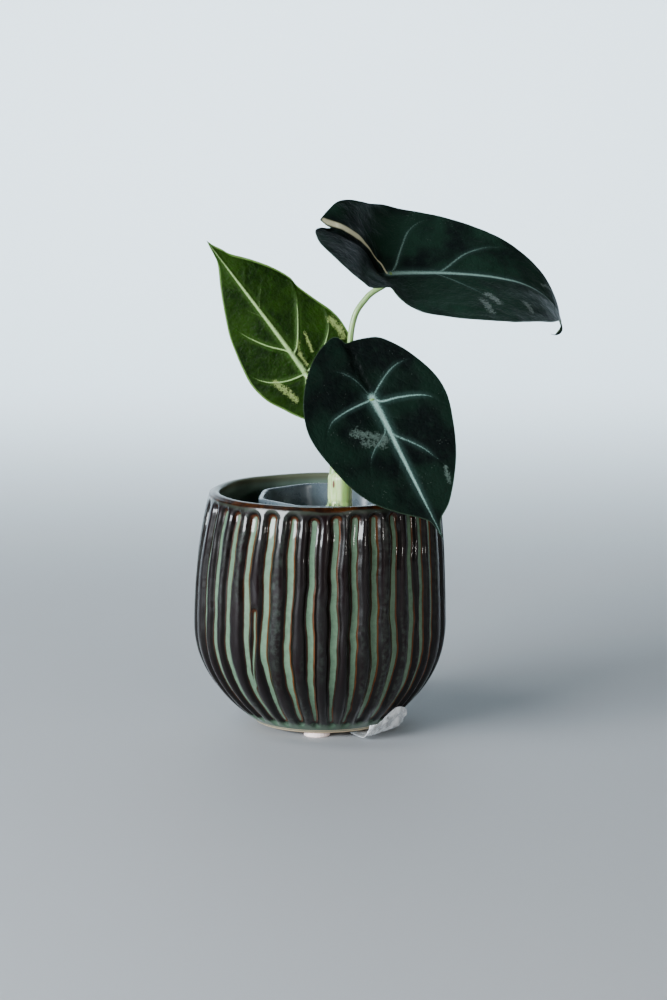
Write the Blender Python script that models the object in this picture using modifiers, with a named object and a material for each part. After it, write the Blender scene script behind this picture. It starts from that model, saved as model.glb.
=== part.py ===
"""A potted alocasia: a ribbed, glazed cachepot on three pads, an eight-sided grower's pot inside it,
potting mix, and a young plant with three peltate leaves. Metres, +Z up, standing on z = 0."""

import math

import bmesh
import bpy
import numpy as np
from mathutils import Matrix, Vector, geometry

# ---- driving dimensions, in metres unless the name says otherwise ----
GAP = 0.0003                     # left between pieces that touch

# cachepot
POT_HEIGHT = 0.106               # rim above the surface that the pot stands on
POT_BELLY_RADIUS = 0.0554        # widest, over the ribs
POT_BELLY_HEIGHT = 0.047
POT_RIM_RADIUS = 0.0499
POT_FOOT_RADIUS = 0.0315
POT_WALL = 0.0038
POT_FLOOR = 0.0065
RIM_ROUND = 0.0012
FOOT_RING_WIDTH = 0.0100
FOOT_RECESS = 0.0015             # the underside is hollowed this deep inside the foot ring
GROOVES = 35
GROOVE_DEPTH = 0.0014
GROOVE_BELOW_RIM = 0.0035        # plain band at the rim
GROOVE_ABOVE_FOOT = 0.0060       # plain band at the foot
GROOVE_FADE = 0.0030             # length over which a groove runs out at each end
FACETS_PER_GROOVE = 3
WALL_ROWS = 13

# pads under the foot
PAD_NAMES = ("foot_pad_front", "foot_pad_back_right", "foot_pad_back_left")
PAD_THICKNESS = 0.0022
PAD_RADIUS = 0.0058
PAD_INSET = 0.0008               # from the foot's edge
FRONT_PAD_ANGLE = -93.0          # degrees, -90 is the front

# loose clear film that stands up from under the foot
FILM_ARC = 32.0                  # degrees of the foot that it spans
FILM_ANGLE = -45.0               # degrees, its middle
FILM_THICKNESS = 0.0003
FILM_UNDER_FOOT = 0.0030
FILM_RISE = 0.0135
FILM_SPREAD = 0.0125             # how far it leans out past the foot's edge

# grower's pot, eight-sided
GROWER_X = 0.0064
GROWER_Y = 0.0031
GROWER_TURN = 19.0               # degrees
GROWER_ROOM = 0.0038             # between its lip's corners and the cachepot's rim where they are nearest
GROWER_FOOT_ROOM = 0.0024        # how far its foot's corners stay inside the cachepot's foot
GROWER_WALL = 0.0009
GROWER_LIP = 0.0014              # how far the lip stands out
GROWER_LIP_HEIGHT = 0.0028
GROWER_BELOW_RIM = 0.0030        # its lip is this far below the cachepot's rim
GROWER_SIDES = 8
DRAIN_HOLES = 4
DRAIN_HOLE_RADIUS = 0.0028

# potting mix
MIX_BELOW_LIP = 0.0150           # at the wall
MIX_MOUND = 0.0030               # how much higher it is round the stem

# stem, rhizome and roots
STEM_X = 0.0092
STEM_Y = 0.0026
STEM_ABOVE_RIM = 0.0070          # the stem ends this far above the cachepot's rim
STEM_RADIUS = 0.0053
RHIZOME_RADIUS = 0.0070
RHIZOME_DEPTH = 0.0230           # below the mix's surface
ROOT_COUNT = 5
ROOT_RADIUS = 0.0012
ROOT_DROP = 0.0260
ROOT_SPREAD = 0.0110
SHEATH_THICKNESS = 0.0005
SHEATH_BELOW_TOP = 0.0040        # its tallest tooth, below the stem's top
SHEATH_ABOVE_MIX = 0.0020
SHEATH_ARC = 130.0               # degrees of the stem that the dry sheath hugs
SHEATH_ANGLE = 215.0             # degrees, its middle

# leaves and their stalks
BLADE_THICKNESS = 0.0008
STALK_FOOT_RADIUS = 0.0022
STALK_TIP_RADIUS = 0.00125
STALK_ROOM = 0.00036             # between the two stalks' feet that are nearest
STALK_NEAREST_TURN = 105.0       # degrees between those two
HALF_SPOKES = 18
RINGS = 6
RIB_SOFTNESS = 0.0030            # half width of the rounded fold along the midrib

# Each leaf: joint with its stalk (x, y, height above the cachepot's rim), where the tip points, which way
# the upper side faces, length from joint to tip, folds along the midrib in degrees on either side, curl of
# the blade beside the joint, arch, hook of the tip and lift of the back in degrees, how much the lift eases
# off towards the notch, the stalk's way up (as the joint), and its outline on either side of the midrib as
# (degrees from the tip, share of the length). Left and right are seen from above, the tip pointing away.
LEAVES = {
    "upper": {
        "joint": (0.0300, 0.0000, 0.0956), "points": (0.985, 0.060, 0.055), "faces": (0.00, -0.47, 0.88),
        "length": 0.0885, "fold": (11.0, 3.0), "curl": (0.0, 26.0), "arch": 19.0, "hook": 60.0,
        "lift": 66.0, "ease": 0.6,
        "left": ((0, 1.00), (5, 0.90), (14, 0.76), (23, 0.67), (33, 0.58), (47, 0.53), (63, 0.49), (80, 0.48),
                 (90, 0.50), (104, 0.48), (125, 0.41), (138, 0.41), (147, 0.42), (158, 0.43), (166, 0.45),
                 (174, 0.46), (180, 0.445)),
        "right": ((0, 1.00), (9, 0.92), (20, 0.85), (36, 0.71), (46, 0.61), (55, 0.54), (68, 0.44), (76, 0.38),
                  (86, 0.345), (95, 0.33), (106, 0.35), (116, 0.39), (123, 0.43), (130, 0.47), (140, 0.485),
                  (150, 0.485), (160, 0.50), (170, 0.50), (176, 0.485), (180, 0.445)),
        "way": ((0.0122, 0.0020, 0.0340), (0.0140, 0.0020, 0.0710), (0.0205, 0.0025, 0.0845)),
        "foot_angle": 45.0,
    },
    "front": {
        "joint": (0.0223, -0.0380, 0.0458), "points": (0.445, -0.28, -0.85), "faces": (0.10, -0.92, 0.38),
        "length": 0.0665, "fold": (5.0, 3.0), "curl": (0.0, 0.0), "arch": 4.0, "hook": 0.0,
        "lift": 4.0, "ease": 0.0,
        "left": ((0, 1.00), (3, 0.89), (10, 0.83), (21, 0.72), (33, 0.62), (50, 0.53), (67, 0.48), (86, 0.43),
                 (113, 0.385), (133, 0.38), (148, 0.39), (160, 0.385), (168, 0.39), (173, 0.385), (180, 0.38)),
        "right": ((0, 1.00), (2, 0.87), (5, 0.83), (14, 0.765), (26, 0.69), (39, 0.61), (53, 0.55), (73, 0.50),
                  (87, 0.48), (102, 0.455), (118, 0.44), (137, 0.435), (154, 0.445), (170, 0.46), (180, 0.44)),
        "way": ((0.0112, -0.0030, 0.0290), (0.0165, -0.0130, 0.0460), (0.0205, -0.0260, 0.0505)),
        "foot_angle": -60.0,
    },
    "left": {
        "joint": (-0.0062, 0.0095, 0.0504), "points": (-0.60, 0.10, 0.80), "faces": (0.06, 0.99, -0.06),
        "length": 0.0720, "fold": (5.0, 6.0), "curl": (0.0, 0.0), "arch": 2.0, "hook": 0.0,
        "lift": 4.0, "ease": 0.0,
        "left": ((0, 1.00), (4, 0.88), (11, 0.78), (19, 0.69), (27, 0.60), (31, 0.54), (44, 0.46), (60, 0.415),
                 (76, 0.37), (100, 0.34), (130, 0.33), (155, 0.33), (170, 0.32), (180, 0.27)),
        "right": ((0, 1.00), (2, 0.86), (8, 0.75), (15, 0.65), (27, 0.53), (38, 0.45), (49, 0.40), (66, 0.35),
                  (87, 0.30), (109, 0.27), (131, 0.275), (150, 0.30), (168, 0.31), (180, 0.27)),
        "way": ((0.0040, 0.0010, 0.0240), (-0.0010, 0.0005, 0.0390), (-0.0045, 0.0025, 0.0480)),
        "foot_angle": 165.0,
    },
}

# ---- derived ----
FOOT_Z = PAD_THICKNESS + GAP
FLOOR_Z = FOOT_Z + POT_FLOOR
GROWER_Z = FLOOR_Z + GAP
LIP_Z = POT_HEIGHT - GROWER_BELOW_RIM
GROWER_SHIFT = math.hypot(GROWER_X, GROWER_Y)
GROWER_TOP_RADIUS = POT_RIM_RADIUS - POT_WALL - GROWER_SHIFT - GROWER_LIP - GROWER_ROOM
GROWER_FOOT_RADIUS = POT_FOOT_RADIUS - GROWER_SHIFT - GROWER_FOOT_ROOM
DRAIN_CIRCLE = GROWER_FOOT_RADIUS * 0.545
MIX_EDGE_Z = LIP_Z - MIX_BELOW_LIP
MIX_TOP_Z = MIX_EDGE_Z + MIX_MOUND
RHIZOME_Z = MIX_TOP_Z - RHIZOME_DEPTH
STEM_TOP_HEIGHT = POT_HEIGHT + STEM_ABOVE_RIM
SHEATH_TOP = STEM_TOP_HEIGHT - SHEATH_BELOW_TOP
SHEATH_FOOT = MIX_TOP_Z + SHEATH_ABOVE_MIX
STALK_CIRCLE = (STALK_FOOT_RADIUS + STALK_ROOM / 2.0) / math.sin(math.radians(STALK_NEAREST_TURN / 2.0))
STALK_FOOT_Z = STEM_TOP_HEIGHT + GAP
COLUMNS = GROOVES * FACETS_PER_GROOVE
CORNER_GAP = GAP / math.cos(math.pi / GROWER_SIDES)


def clear_scene():
    for thing in list(bpy.data.objects):
        bpy.data.objects.remove(thing, do_unlink=True)


def new_collection(name):
    group = bpy.data.collections.new(name)
    bpy.context.scene.collection.children.link(group)
    return group


def material(name, colour, roughness, metallic=0.0):
    made = bpy.data.materials.new(name)
    made.use_nodes = True
    shader = made.node_tree.nodes["Principled BSDF"]
    shader.inputs["Base Color"].default_value = (*colour, 1.0)
    shader.inputs["Roughness"].default_value = roughness
    shader.inputs["Metallic"].default_value = metallic
    return made


def add(name, mesh, group, finish=None):
    thing = bpy.data.objects.new(name, mesh)
    group.objects.link(thing)
    if finish is not None:
        mesh.materials.clear()
        mesh.materials.append(finish)
    return thing


def add_cutter(name, mesh, group):
    thing = add(name, mesh, group)
    thing.hide_render = True
    thing.display_type = "WIRE"
    return thing


def mesh_from(points, faces, name):
    mesh = bpy.data.meshes.new(name)
    mesh.from_pydata([tuple(p) for p in points], [], faces)
    mesh.update()
    return mesh


def baked(thing):
    """The object's shape with its modifiers, as a plain closed mesh."""
    bpy.context.view_layer.update()
    graph = bpy.context.evaluated_depsgraph_get()
    mesh = bpy.data.meshes.new_from_object(thing.evaluated_get(graph))
    shape = bmesh.new()
    shape.from_mesh(mesh)
    bmesh.ops.remove_doubles(shape, verts=shape.verts, dist=0.00001)
    bmesh.ops.dissolve_degenerate(shape, edges=shape.edges, dist=0.00001)
    bmesh.ops.recalc_face_normals(shape, faces=shape.faces)
    shape.to_mesh(mesh)
    shape.free()
    return mesh


def turned(name, profile, steps, group, finish=None):
    """A profile of (radius, height) turned once round the z axis."""
    line = bpy.data.meshes.new("profile")
    count = len(profile)
    line.from_pydata([(r, 0.0, z) for r, z in profile], [(i, i + 1) for i in range(count - 1)], [])
    blank = add("blank", line, bpy.context.scene.collection)
    turn = blank.modifiers.new("turn", "SCREW")
    turn.axis = "Z"
    turn.steps = steps
    turn.render_steps = steps
    turn.use_merge_vertices = True
    turn.merge_threshold = 0.00001
    turn.use_smooth_shade = False
    mesh = baked(blank)
    bpy.data.objects.remove(blank, do_unlink=True)
    return add(name, mesh, group, finish)


def subtract(thing, cutters):
    for cutter in cutters:
        cut = thing.modifiers.new("cut " + cutter.name, "BOOLEAN")
        cut.operation = "DIFFERENCE"
        cut.solver = "EXACT"
        cut.object = cutter


def unite(thing, others):
    for other in others:
        join = thing.modifiers.new("join " + other.name, "BOOLEAN")
        join.operation = "UNION"
        join.solver = "EXACT"
        join.object = other


def tube_mesh(name, points, radii, sides=10):
    """A round tube with closed ends through the points, its radius changing on the way."""
    curve = bpy.data.curves.new(name, "CURVE")
    curve.dimensions = "3D"
    curve.bevel_depth = 1.0
    curve.bevel_resolution = max(0, sides // 2 - 2)
    curve.use_fill_caps = True
    curve.twist_mode = "MINIMUM"
    line = curve.splines.new("POLY")
    line.points.add(len(points) - 1)
    for spot, point, radius in zip(line.points, points, radii):
        spot.co = (*point, 1.0)
        spot.radius = radius
    temporary = bpy.data.objects.new(name + " curve", curve)
    bpy.context.scene.collection.objects.link(temporary)
    mesh = baked(temporary)
    bpy.data.objects.remove(temporary, do_unlink=True)
    mesh.name = name
    return mesh


def smooth_step(value):
    value = min(1.0, max(0.0, value))
    return value * value * (3.0 - 2.0 * value)


def bezier(a, b, c, d, count):
    flat = [Vector((p[0], p[1], 0.0)) for p in (a, b, c, d)]
    return [(p.x, p.y) for p in geometry.interpolate_bezier(*flat, count)]


def flowing(points, per_span):
    """Points along a rounded path through the given ones."""
    spots = [Vector(p) for p in points]
    path = []
    for i in range(len(spots) - 1):
        before = spots[i - 1] if i > 0 else spots[i] * 2 - spots[i + 1]
        after = spots[i + 2] if i + 2 < len(spots) else spots[i + 1] * 2 - spots[i]
        first = spots[i] + (spots[i + 1] - before) / 6.0
        second = spots[i + 1] - (after - spots[i]) / 6.0
        span = geometry.interpolate_bezier(spots[i], first, second, spots[i + 1], per_span + 1)
        path.extend(span if i == 0 else span[1:])
    return path


# ---- cachepot ----
def outer_wall():
    """(radius, height) down the outside, from under the rim to the foot."""
    shoulder = POT_HEIGHT - RIM_ROUND
    belly = (POT_BELLY_RADIUS, POT_BELLY_HEIGHT)
    top_rows = WALL_ROWS // 2 + 1
    upper = bezier(
        (POT_RIM_RADIUS + 0.0003, shoulder), (POT_RIM_RADIUS + 0.0037, POT_HEIGHT * 0.83),
        (POT_BELLY_RADIUS, POT_HEIGHT * 0.63), belly, top_rows)
    lower = bezier(
        belly, (POT_BELLY_RADIUS, POT_HEIGHT * 0.255), (POT_FOOT_RADIUS + 0.0125, POT_HEIGHT * 0.13),
        (POT_FOOT_RADIUS, FOOT_Z + 0.0015), WALL_ROWS - top_rows + 3)
    return upper + lower[1:]


def wall_rows():
    """The outside's points, with extra rows where the grooves run out."""
    rows = outer_wall()
    top = POT_HEIGHT - GROOVE_BELOW_RIM
    bottom = FOOT_Z + GROOVE_ABOVE_FOOT
    for height in (top, top - GROOVE_FADE, bottom + GROOVE_FADE, bottom):
        rows = [p for p in rows if abs(p[1] - height) > 0.0012 or p in (rows[0], rows[-1])]
        for i in range(len(rows) - 1):
            (r0, z0), (r1, z1) = rows[i], rows[i + 1]
            if z0 > height > z1:
                share = (z0 - height) / (z0 - z1)
                rows.insert(i + 1, (r0 + (r1 - r0) * share, height))
                break
    return rows


def pot_profile():
    outside = wall_rows()
    inside = []
    for r, z in outside[1::2]:
        if z > FLOOR_Z + 0.006:
            inside.append((r - POT_WALL, z))
    inside.reverse()
    ring_inner = POT_FOOT_RADIUS - FOOT_RING_WIDTH
    floor_corner = inside[0][0] - 0.0065
    profile = [(0.0, FLOOR_Z), (floor_corner, FLOOR_Z), (floor_corner + 0.0035, FLOOR_Z + 0.0015)]
    profile += inside
    profile += [(POT_RIM_RADIUS - POT_WALL + 0.0002, POT_HEIGHT - RIM_ROUND),
                (POT_RIM_RADIUS - POT_WALL * 0.72, POT_HEIGHT),
                (POT_RIM_RADIUS - RIM_ROUND, POT_HEIGHT)]
    profile += outside
    profile += [(POT_FOOT_RADIUS - 0.0008, FOOT_Z), (ring_inner + 0.0008, FOOT_Z),
                (ring_inner, FOOT_Z + FOOT_RECESS), (0.0, FOOT_Z + FOOT_RECESS)]
    return profile


def carve_grooves(mesh):
    """Upright grooves pressed into the outside only."""
    top = POT_HEIGHT - GROOVE_BELOW_RIM
    bottom = FOOT_Z + GROOVE_ABOVE_FOOT
    outline = sorted((z, r) for r, z in wall_rows())
    heights = [z for z, r in outline]
    radii = [r for z, r in outline]
    for vertex in mesh.vertices:
        x, y, z = vertex.co
        radius = math.hypot(x, y)
        if not bottom < z < top or radius < np.interp(z, heights, radii) - 0.0005:
            continue
        turn = math.atan2(y, x) / (2.0 * math.pi) * GROOVES
        across = abs(turn - round(turn)) * 2.0
        if across > 0.4:
            continue
        depth = GROOVE_DEPTH * smooth_step((top - z) / GROOVE_FADE) * smooth_step((z - bottom) / GROOVE_FADE)
        keep = (radius - depth) / radius
        vertex.co = (x * keep, y * keep, z)


def make_cachepot(group, root):
    finish = material("celadon over dark clay", (0.18, 0.25, 0.20), 0.12)
    pot = turned("cachepot", pot_profile(), COLUMNS, group, finish)
    carve_grooves(pot.data)
    pot.rotation_euler.z = math.radians(-90.0)
    pot.parent = root


def make_pads(group, root):
    finish = material("pale rubber pad", (0.82, 0.72, 0.70), 0.55)
    centre = POT_FOOT_RADIUS - 0.0008 - PAD_INSET - PAD_RADIUS
    for i, name in enumerate(PAD_NAMES):
        angle = math.radians(FRONT_PAD_ANGLE + 360.0 / len(PAD_NAMES) * i)
        profile = [(0.0, PAD_THICKNESS), (PAD_RADIUS - 0.0004, PAD_THICKNESS),
                   (PAD_RADIUS, PAD_THICKNESS - 0.0004), (PAD_RADIUS, 0.0004), (PAD_RADIUS - 0.0004, 0.0),
                   (0.0, 0.0)]
        pad = turned(name, profile, 24, group, finish)
        pad.location = (centre * math.cos(angle), centre * math.sin(angle), 0.0)
        pad.parent = root


def make_film(group, root):
    """A clear film that lies under the foot, then stands up and leans out in front of the wall."""
    edge = POT_FOOT_RADIUS
    middle = FOOT_Z / 2.0
    path = [(edge - FILM_UNDER_FOOT, middle), (edge, middle), (edge + FILM_SPREAD * 0.45, middle + 0.0006),
            (edge + FILM_SPREAD * 0.80, FILM_RISE * 0.42), (edge + FILM_SPREAD, FILM_RISE)]
    steps = 8
    points, faces = [], []
    for i in range(steps + 1):
        share = i / steps
        angle = math.radians(FILM_ANGLE + FILM_ARC * (share - 0.5))
        for r, z in path:
            droop = 1.0 - 0.35 * smooth_step(abs(share - 0.6) * 1.8) if z > middle else 1.0
            points.append((r * math.cos(angle), r * math.sin(angle), max(middle, z * droop)))
    row = len(path)
    for i in range(steps):
        for j in range(row - 1):
            a = i * row + j
            faces.append((a, a + row, a + row + 1, a + 1))
    film = add("base_film_tab", mesh_from(points, faces, "film"), group,
               material("clear film", (0.80, 0.84, 0.85), 0.15))
    thicken(film, FILM_THICKNESS, 0.0)
    film.parent = root


def thicken(thing, thickness, offset):
    skin = thing.modifiers.new("thickness", "SOLIDIFY")
    skin.thickness = thickness
    skin.offset = offset
    skin.use_even_offset = True
    skin.use_rim = True


# ---- grower's pot and mix ----
def grower_radius(height):
    """Outer corner radius at a height."""
    share = (height - GROWER_Z) / (LIP_Z - GROWER_LIP_HEIGHT - GROWER_Z)
    return GROWER_FOOT_RADIUS + (GROWER_TOP_RADIUS - GROWER_FOOT_RADIUS) * min(1.0, max(0.0, share))


def make_grower(group, cutters, root):
    under_lip = LIP_Z - GROWER_LIP_HEIGHT
    inner_floor = GROWER_Z + GROWER_WALL
    profile = [
        (0.0, inner_floor), (grower_radius(inner_floor) - GROWER_WALL * 1.6, inner_floor),
        (GROWER_TOP_RADIUS - GROWER_WALL, under_lip), (GROWER_TOP_RADIUS - GROWER_WALL, LIP_Z),
        (GROWER_TOP_RADIUS + GROWER_LIP - 0.0003, LIP_Z), (GROWER_TOP_RADIUS + GROWER_LIP, LIP_Z - 0.0003),
        (GROWER_TOP_RADIUS + GROWER_LIP, under_lip), (GROWER_TOP_RADIUS, under_lip - 0.0004),
        (GROWER_FOOT_RADIUS, GROWER_Z + 0.0008), (GROWER_FOOT_RADIUS - 0.0008, GROWER_Z), (0.0, GROWER_Z),
    ]
    finish = material("grey plastic", (0.13, 0.14, 0.15), 0.30)
    pot = turned("grower_pot", profile, GROWER_SIDES, group, finish)
    seat(pot, root)
    for i in range(DRAIN_HOLES):
        angle = 2.0 * math.pi * (i + 0.25) / DRAIN_HOLES
        spot = (DRAIN_CIRCLE * math.cos(angle), DRAIN_CIRCLE * math.sin(angle))
        profile = [(0.0, GROWER_WALL * 2.5), (DRAIN_HOLE_RADIUS, GROWER_WALL * 2.5),
                   (DRAIN_HOLE_RADIUS, -GROWER_WALL), (0.0, -GROWER_WALL)]
        hole = turned("drain hole %d" % (i + 1), profile, 16, cutters)
        hole.hide_render = True
        hole.display_type = "WIRE"
        hole.parent = pot
        hole.location = (*spot, GROWER_Z)
        subtract(pot, [hole])
    return pot


def seat(thing, root):
    thing.location = (GROWER_X, GROWER_Y, 0.0)
    thing.rotation_euler.z = math.radians(GROWER_TURN)
    thing.parent = root


def make_mix(group, root, cutter):
    bottom = GROWER_Z + GROWER_WALL + GAP
    inner = lambda z: grower_radius(z) - GROWER_WALL * 1.6 - CORNER_GAP
    profile = [(0.0, MIX_TOP_Z), (0.011, MIX_TOP_Z - 0.0004), (0.022, MIX_EDGE_Z + MIX_MOUND * 0.35),
               (inner(MIX_EDGE_Z), MIX_EDGE_Z), (inner(bottom), bottom), (0.0, bottom)]
    finish = material("potting mix", (0.09, 0.055, 0.035), 0.95)
    mix = turned("growing_medium", profile, GROWER_SIDES, group, finish)
    seat(mix, root)
    subtract(mix, [cutter])


# ---- stem ----
def stem_shapes(extra):
    """Stem with rhizome, then the roots, all grown by `extra`, as (points, radii) runs."""
    base = Vector((STEM_X, STEM_Y, 0.0))
    heights = [RHIZOME_Z, RHIZOME_Z + 0.003, RHIZOME_Z + 0.009, MIX_TOP_Z - 0.006, MIX_TOP_Z + 0.002,
               STEM_TOP_HEIGHT - 0.008, STEM_TOP_HEIGHT + extra]
    widths = [RHIZOME_RADIUS * 0.55, RHIZOME_RADIUS * 0.92, RHIZOME_RADIUS, RHIZOME_RADIUS * 0.95,
              STEM_RADIUS * 1.04, STEM_RADIUS, STEM_RADIUS * 1.02]
    runs = [([base + Vector((0.0, 0.0, z)) for z in heights], [w + extra for w in widths], 16)]
    runs[0][0][0].z -= extra
    for i in range(ROOT_COUNT):
        angle = 2.0 * math.pi * (i + 0.3) / ROOT_COUNT
        out = Vector((math.cos(angle), math.sin(angle), 0.0))
        start = base + out * RHIZOME_RADIUS * 0.35 + Vector((0.0, 0.0, RHIZOME_Z + 0.005))
        reach = ROOT_SPREAD * (0.8 + 0.2 * (i % 3) / 2.0)
        spots = [start, start + out * reach * 0.65 - Vector((0.0, 0.0, ROOT_DROP * 0.16)),
                 start + out * reach - Vector((0.0, 0.0, ROOT_DROP * 0.50)),
                 start + out * reach * 0.94 - Vector((0.0, 0.0, ROOT_DROP))]
        path = flowing(spots, 3)
        if extra:
            path[-1] = path[-1] - Vector((0.0, 0.0, extra))
        sizes = [ROOT_RADIUS * (1.0 - 0.35 * k / (len(path) - 1)) + extra for k in range(len(path))]
        runs.append((path, sizes, 8))
    return runs


def stem_solid(name, group, extra, root, finish=None, helper_group=None):
    runs = stem_shapes(extra)
    solid = add(name, tube_mesh(name, *runs[0]), group, finish)
    solid.parent = root
    roots = []
    for i, run in enumerate(runs[1:]):
        piece = add_cutter("%s root %d" % (name, i + 1), tube_mesh("root", *run), helper_group)
        piece.parent = root
        roots.append(piece)
    unite(solid, roots)
    return solid


def make_sheath(group, root):
    """The dry skin of an old leaf, still round one side of the stem, torn at the top."""
    radius = STEM_RADIUS * 1.04 + GAP + SHEATH_THICKNESS * 0.8
    torn = (0.30, 0.62, 0.95, 0.78, 1.0, 0.66, 0.86, 0.55, 0.34)
    columns = len(torn) - 1
    points, faces = [], []
    for i, tall in enumerate(torn):
        angle = math.radians(SHEATH_ANGLE + SHEATH_ARC * (i / columns - 0.5))
        for j in range(4):
            rise = SHEATH_FOOT + (SHEATH_TOP - SHEATH_FOOT) * tall * j / 3.0
            lean = radius + 0.0009 * (j / 3.0) ** 2 * tall
            points.append((STEM_X + lean * math.cos(angle), STEM_Y + lean * math.sin(angle), rise))
    for i in range(columns):
        for j in range(3):
            a = i * 4 + j
            faces.append((a, a + 4, a + 5, a + 1))
    sheath = add("old_sheath", mesh_from(points, faces, "sheath"), group,
                 material("dry sheath", (0.62, 0.50, 0.36), 0.8))
    thicken(sheath, SHEATH_THICKNESS, 0.0)
    sheath.parent = root


# ---- leaves ----
def above_rim(point):
    return Vector(point) + Vector((0.0, 0.0, POT_HEIGHT))


def blade_frame(leaf):
    """Columns: towards the tip, across to the left, and up out of the blade."""
    up = Vector(leaf["faces"]).normalized()
    along = Vector(leaf["points"])
    along = (along - up * along.dot(up)).normalized()
    across = up.cross(along)
    return Matrix((along, across, up)).transposed()


def spoke_angles():
    """Degrees from the tip, closer together near it, all the way round."""
    half = [180.0 * (i / HALF_SPOKES) ** 1.35 for i in range(HALF_SPOKES + 1)]
    return half + [-a for a in reversed(half[1:-1])]


def outline_share(angle, leaf):
    rows = leaf["left"] if angle > 0 else leaf["right"]
    return float(np.interp(abs(angle), [row[0] for row in rows], [row[1] for row in rows]))


def bend_at(forward, leaf):
    """Downward slope of the midrib, in radians, at a distance forward of the joint."""
    reach = forward / leaf["length"]
    if reach < 0.0:
        ease = 1.0 - leaf["ease"] * smooth_step((-reach - 0.12) / 0.26)
        return math.radians(leaf["lift"]) * smooth_step(-reach / 0.10) * ease
    return math.radians(leaf["arch"] * reach + leaf["hook"] * max(0.0, (reach - 0.4) / 0.6) ** 2.2)


def bent(forward, leaf):
    """Where the midrib is (along, up), at a distance forward of the joint, and its slope."""
    steps = 12
    along = rise = 0.0
    for i in range(steps):
        slope = bend_at(forward * (i + 0.5) / steps, leaf)
        along += math.cos(slope) * forward / steps
        rise -= math.sin(slope) * forward / steps
    return along, rise, bend_at(forward, leaf)


def blade_point(radius, angle, leaf):
    forward = radius * math.cos(math.radians(angle))
    side = radius * math.sin(math.radians(angle))
    along, rise, slope = bent(forward, leaf)
    lifted = math.hypot(side, RIB_SOFTNESS) - RIB_SOFTNESS
    half = 0 if side > 0 else 1
    reach = forward / leaf["length"]
    curl = smooth_step(0.35 - 2.0 * reach) * (1.0 - smooth_step((-reach - 0.05) / 0.15))
    fold = leaf["fold"][half] + leaf["curl"][half] * curl
    fold = math.radians(fold)
    height = lifted * math.sin(fold)
    across = side * math.cos(fold * lifted / (abs(side) + 1e-9))
    return Vector((along + math.sin(slope) * height, across, rise + math.cos(slope) * height))


def make_blade(key, leaf, group, root, finish):
    frame = blade_frame(leaf)
    joint = above_rim(leaf["joint"])
    angles = spoke_angles()
    count = len(angles)
    points, faces = [joint], []
    for ring in range(1, RINGS + 1):
        share = (ring / RINGS) ** 0.9
        for angle in angles:
            reach = outline_share(angle, leaf) * leaf["length"] * share
            points.append(joint + frame @ blade_point(reach, angle, leaf))
    for i in range(count):
        after = (i + 1) % count
        faces.append((0, 1 + i, 1 + after))
        for ring in range(RINGS - 1):
            a, b = 1 + ring * count, 1 + (ring + 1) * count
            faces.append((a + i, b + i, b + after, a + after))
    blade = add("leaf_" + key, mesh_from(points, faces, "blade"), group, finish)
    thicken(blade, BLADE_THICKNESS, -1.0)
    blade.parent = root


def make_stalk(key, leaf, group, root, finish):
    up = blade_frame(leaf).col[2]
    angle = math.radians(leaf["foot_angle"])
    out = Vector((math.cos(angle), math.sin(angle), 0.0))
    foot = Vector((STEM_X, STEM_Y, STALK_FOOT_Z)) + out * STALK_CIRCLE
    end = above_rim(leaf["joint"]) - up * (BLADE_THICKNESS + GAP)
    way = [above_rim(p) for p in leaf["way"]]
    spots = [foot, foot + Vector((0.0, 0.0, 0.006))] + way + [end - up * 0.004, end]
    path = [foot] + flowing(spots[1:-1], 3) + [end]
    lengths = [0.0]
    for a, b in zip(path, path[1:]):
        lengths.append(lengths[-1] + (b - a).length)
    sizes = []
    for reach in lengths:
        sizes.append(STALK_FOOT_RADIUS + (STALK_TIP_RADIUS - STALK_FOOT_RADIUS) * (reach / lengths[-1]) ** 0.7)
    stalk = add("petiole_" + key, tube_mesh("stalk", path, sizes, 10), group, finish)
    stalk.parent = root


def stand_at_origin(group, root):
    """Moves the whole plant so that the middle of its footprint box is the origin."""
    bpy.context.view_layer.update()
    graph = bpy.context.evaluated_depsgraph_get()
    corners = []
    for thing in group.objects:
        if thing.type == "MESH":
            solid = thing.evaluated_get(graph)
            corners += [solid.matrix_world @ Vector(c) for c in solid.bound_box]
    low = [min(c[i] for c in corners) for i in range(3)]
    high = [max(c[i] for c in corners) for i in range(3)]
    root.location = (-(low[0] + high[0]) / 2.0, -(low[1] + high[1]) / 2.0, -low[2])


def main():
    clear_scene()
    group = new_collection("potted alocasia")
    cutters = new_collection("cutters")
    root = bpy.data.objects.new("plant centre", None)
    cutters.objects.link(root)
    make_cachepot(group, root)
    make_pads(group, root)
    make_film(group, root)
    make_grower(group, cutters, root)
    room = stem_solid("room for stem", cutters, GAP, root, helper_group=cutters)
    room.hide_render = True
    room.display_type = "WIRE"
    make_mix(group, root, room)
    stem_solid("stem_base", group, 0.0, root, material("stem", (0.45, 0.52, 0.28), 0.45), cutters)
    make_sheath(group, root)
    blade_finish = material("leaf", (0.035, 0.075, 0.045), 0.40)
    stalk_finish = material("stalk", (0.50, 0.56, 0.34), 0.40)
    for key, leaf in LEAVES.items():
        make_blade(key, leaf, group, root, blade_finish)
        make_stalk(key, leaf, group, root, stalk_finish)
    stand_at_origin(group, root)


main()
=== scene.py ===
import math

import bmesh
import bpy
import numpy as np
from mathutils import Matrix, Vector, noise


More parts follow.
